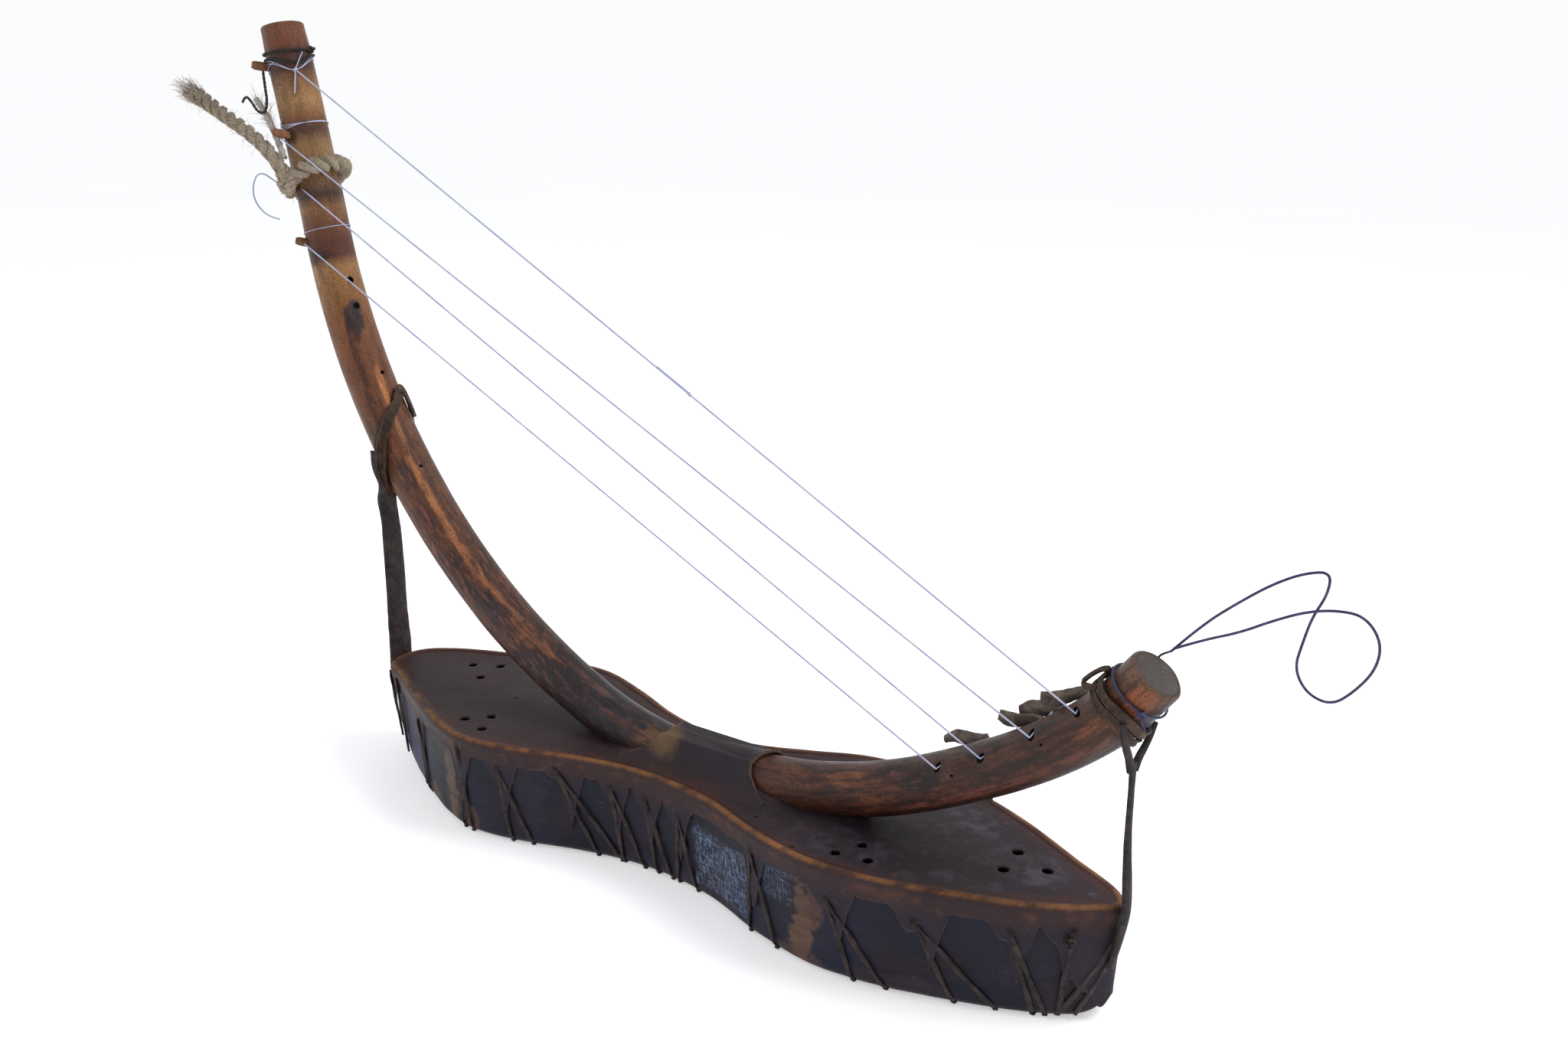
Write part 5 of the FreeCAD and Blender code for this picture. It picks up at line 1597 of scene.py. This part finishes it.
def build_windings():
    """Turns of string round the neck beside each peg, and the top string's knot."""
    turn = np.linspace(KNOT_ANGLE - 180, KNOT_ANGLE + 180, 140)
    parts = [knot_arrays(on_bow(KNOT_ALONG, KNOT_ANGLE, 0.9)[0], 1.4 * MM, 0.8 * MM, 6)]
    for shift in (0.0, 1.4):
        along = 18.6 + shift + (KNOT_ALONG - 18.6 - shift) * np.exp(-((turn - KNOT_ANGLE) / 42) ** 2)
        parts.append(tube_arrays(on_bow(along, turn, 0.5), 0.2 * MM))
    parts.append(winding_strand([KNOT_ALONG, 32, 38.5], [KNOT_ANGLE, 143, 136], [1.2, 1.9, 1.7], 0.36))
    parts.append(winding_strand([KNOT_ALONG, 22, 17.5], [KNOT_ANGLE, 160, 172], [1.2, 2.2, 2.6], 0.28))
    parts.append(winding_strand([25, 22, 20.5], [44, 70, 96]))
    piece("string_winding_top_turns", merge_arrays(parts), "string_line", "string_winding_top")
    for name, turns in WINDINGS.items():
        parts = [tube_arrays(ring_on_bow(height, lean, 0.4, start=-90, count=140), 0.2 * MM)
                 for height, lean in turns]
        if name == "string_winding_upper":
            parts.append(winding_strand([50, 52, 54, 57], [84, 66, 48, 30]))
        piece(f"{name}_turns", merge_arrays(parts), "string_line", name)


def build_string_tail():
    """The loose end of a string, curling beside the neck."""
    tail, _ = cord_curve("string_tail_line", STRING_TAIL, 0.9 * MM, "string_line", "string_tail")


PEG_BODIES = {"tuning_peg_top": "peg_top", "tuning_peg_upper": "peg_upper", "tuning_peg_lower": "peg_lower"}
PEG_RADIUS = 2.32 * MM
PEG_INSIDE = 0.0078     # how far a peg's foot is from the bow's centre line, on the far side
PEG_ROWS, PEG_SIDES = 40, 36


def build_pegs():
    """Whittled pegs, each on its own body, with a faceted and slightly tapered stem."""
    share = np.linspace(0, 1, PEG_ROWS)
    angles = np.linspace(0, 2 * math.pi, PEG_SIDES, endpoint=False)
    rounding = np.minimum(1, 0.72 + 5.5 * np.minimum(share, 1 - share))
    for number, (name, (centre, direction, reach)) in enumerate(PEGS.items()):
        outward = unit(np.array(direction))
        line = np.linspace(centre - outward * PEG_INSIDE, centre + outward * reach, PEG_ROWS)
        _, first, second = frames_along(line)
        facets = 1 - 0.07 * abs(np.sin(angles * 3.5 + number))
        swelling = 1 + 0.05 * smoothstep(0.6, 0.95, share) - 0.03 * np.sin(share * 21)
        radii = PEG_RADIUS * rounding * swelling
        rings = [p + r * facets[:, None] * (np.cos(angles)[:, None] * a + np.sin(angles)[:, None] * b)
                 for p, r, a, b in zip(line, radii, first, second)]
        vertices = np.concatenate(rings)
        vertices = vertices + (wobble(vertices, 500, number) * 0.10 * MM)[:, None] * second[0]
        piece(f"{name}_stem", (vertices, tube_faces(PEG_ROWS, PEG_SIDES)), "peg_wood", name,
              body=PEG_BODIES[name])


TONGUE_LINE = [(0.152, 0.0159, 0.1034), (0.154, 0.016, 0.092), (0.158, 0.0164, 0.075)]
ROLL_ROWS, ROLL_SIDES = 46, 40
ROLL_TURN = 2.6 * math.pi
ROLL_HALF = 0.62        # half a roll's length, as a share of the distance between its ends


def roll_rows(start, end, seed):
    """A scrap of leather rolled up along a line: a spiral section, fuller in the middle."""
    start, end = np.array(start), np.array(end)
    length = np.linalg.norm(end - start)
    run = (end - start) / length
    aside = unit(np.cross(run, [0, 0, 1.0]))
    up = np.cross(aside, run)
    turns = np.linspace(0, ROLL_TURN, ROLL_SIDES)
    rows = []
    for share in np.linspace(-ROLL_HALF, ROLL_HALF, ROLL_ROWS):
        core = (start + end) / 2 + run * share * length + up * 0.0012 * math.sin(share * 5 + seed)
        bulge = 1 - 0.35 * abs(share / ROLL_HALF) ** 3
        flutter = 1 + 0.14 * np.sin(turns * 2 + seed + share * 4)
        radius = (1.3 + 1.9 * turns / ROLL_TURN) * MM * bulge * flutter
        rows.append(core + radius[:, None] * (np.cos(turns)[:, None] * aside + np.sin(turns)[:, None] * up))
    vertices = np.concatenate(rows)
    return vertices + (wobble(vertices, 300, seed) * 0.5 * MM)[:, None] * up


def build_toggles():
    """Rolled scraps of leather that hold the strings at the back of the short arm, one with a tongue."""
    for number, (start, end) in enumerate(TOGGLES, start=1):
        made = mesh_object(f"toggle_{number}_roll", roll_rows(start, end, number * 3.1),
                           grid_faces(ROLL_ROWS, ROLL_SIDES), PAINTS["toggle_leather"].material)
        thicken(made, 0.9 * MM, 0)
        dressed(made, "toggle_leather", f"string_toggle_{number}")
    across = np.tile([1.0, 0.2, 0.2], (50, 1))
    width = widths([0, 1], [3.5, 5.5], 50)
    tongue = strap_arrays(spline(TONGUE_LINE, 50), across, width, 1.6 * MM, 0.35, 9)
    piece("toggle_1_tongue", tongue, "toggle_leather", "toggle_tongue")


def build_wire():
    """The stiff wire loop at the short arm's end, its turn round the arm and its knot."""
    wire, _ = cord_curve("wire_loop_line", HANGING_WIRE, 1.15 * MM, "wire_metal", "hanging_wire")
    ring = ring_on_bow(156.8, 0.0, 0.7, start=-90, count=160, neck=False)
    edge = BOW_LENGTH / MM
    join = [*on_bow([edge - 14, edge - 7, edge - 0.8], [262, 256, 249], 0.6), HANGING_WIRE[0]]
    parts = [tube_arrays(ring, 0.55 * MM), tube_arrays(spline(join, 60), 0.5 * MM)]
    piece("wire_turn", merge_arrays(parts), "wire_metal", "wire_ring")
    knot = on_bow(762, 60, 1.2)[0]
    ends = [knot_arrays(knot, 2.0 * MM, 1.0 * MM, 8)]
    for shift in np.array([(0.0048, -0.001, -0.0035), (0.003, -0.002, -0.006)]):
        line = spline([knot, knot + shift * 0.6 + np.array([0, -0.001, 0]), knot + shift], 20)
        ends.append(tube_arrays(line, 0.45 * MM))
    piece("wire_end_knot", merge_arrays(ends), "wire_metal", "wire_knot")


# ------------------------------------------------------------------ the scene
def build_floor():
    """A pale floor so wide that its edge is never seen, just under the box."""
    half, height = 60.0, -0.0002
    data = bpy.data.meshes.new("floor")
    data.from_pydata([(x * half, y * half, height) for x, y in ((-1, -1), (1, -1), (1, 1), (-1, 1))],
                     [], [(0, 1, 2, 3)])
    floor = add_object("floor", data)
    data.materials.append(PAINTS["paper_floor"].material)


add_camera()
add_studio()
tail_rng = np.random.default_rng(11)
build_rope_tail(tail_rng)
build_thin_tail(tail_rng)
build_tie_cord()
build_string_tail()
build_wire()
bow = build_bow()
drill_bow(bow)
dressed(bow, "bow_wood", "bow")
build_soundbox()
hide = build_hide()
build_lacing()
build_left_strap()
build_right_strap()
build_rope_ring()
build_strings()
build_windings()
build_pegs()
build_toggles()
build_floor()
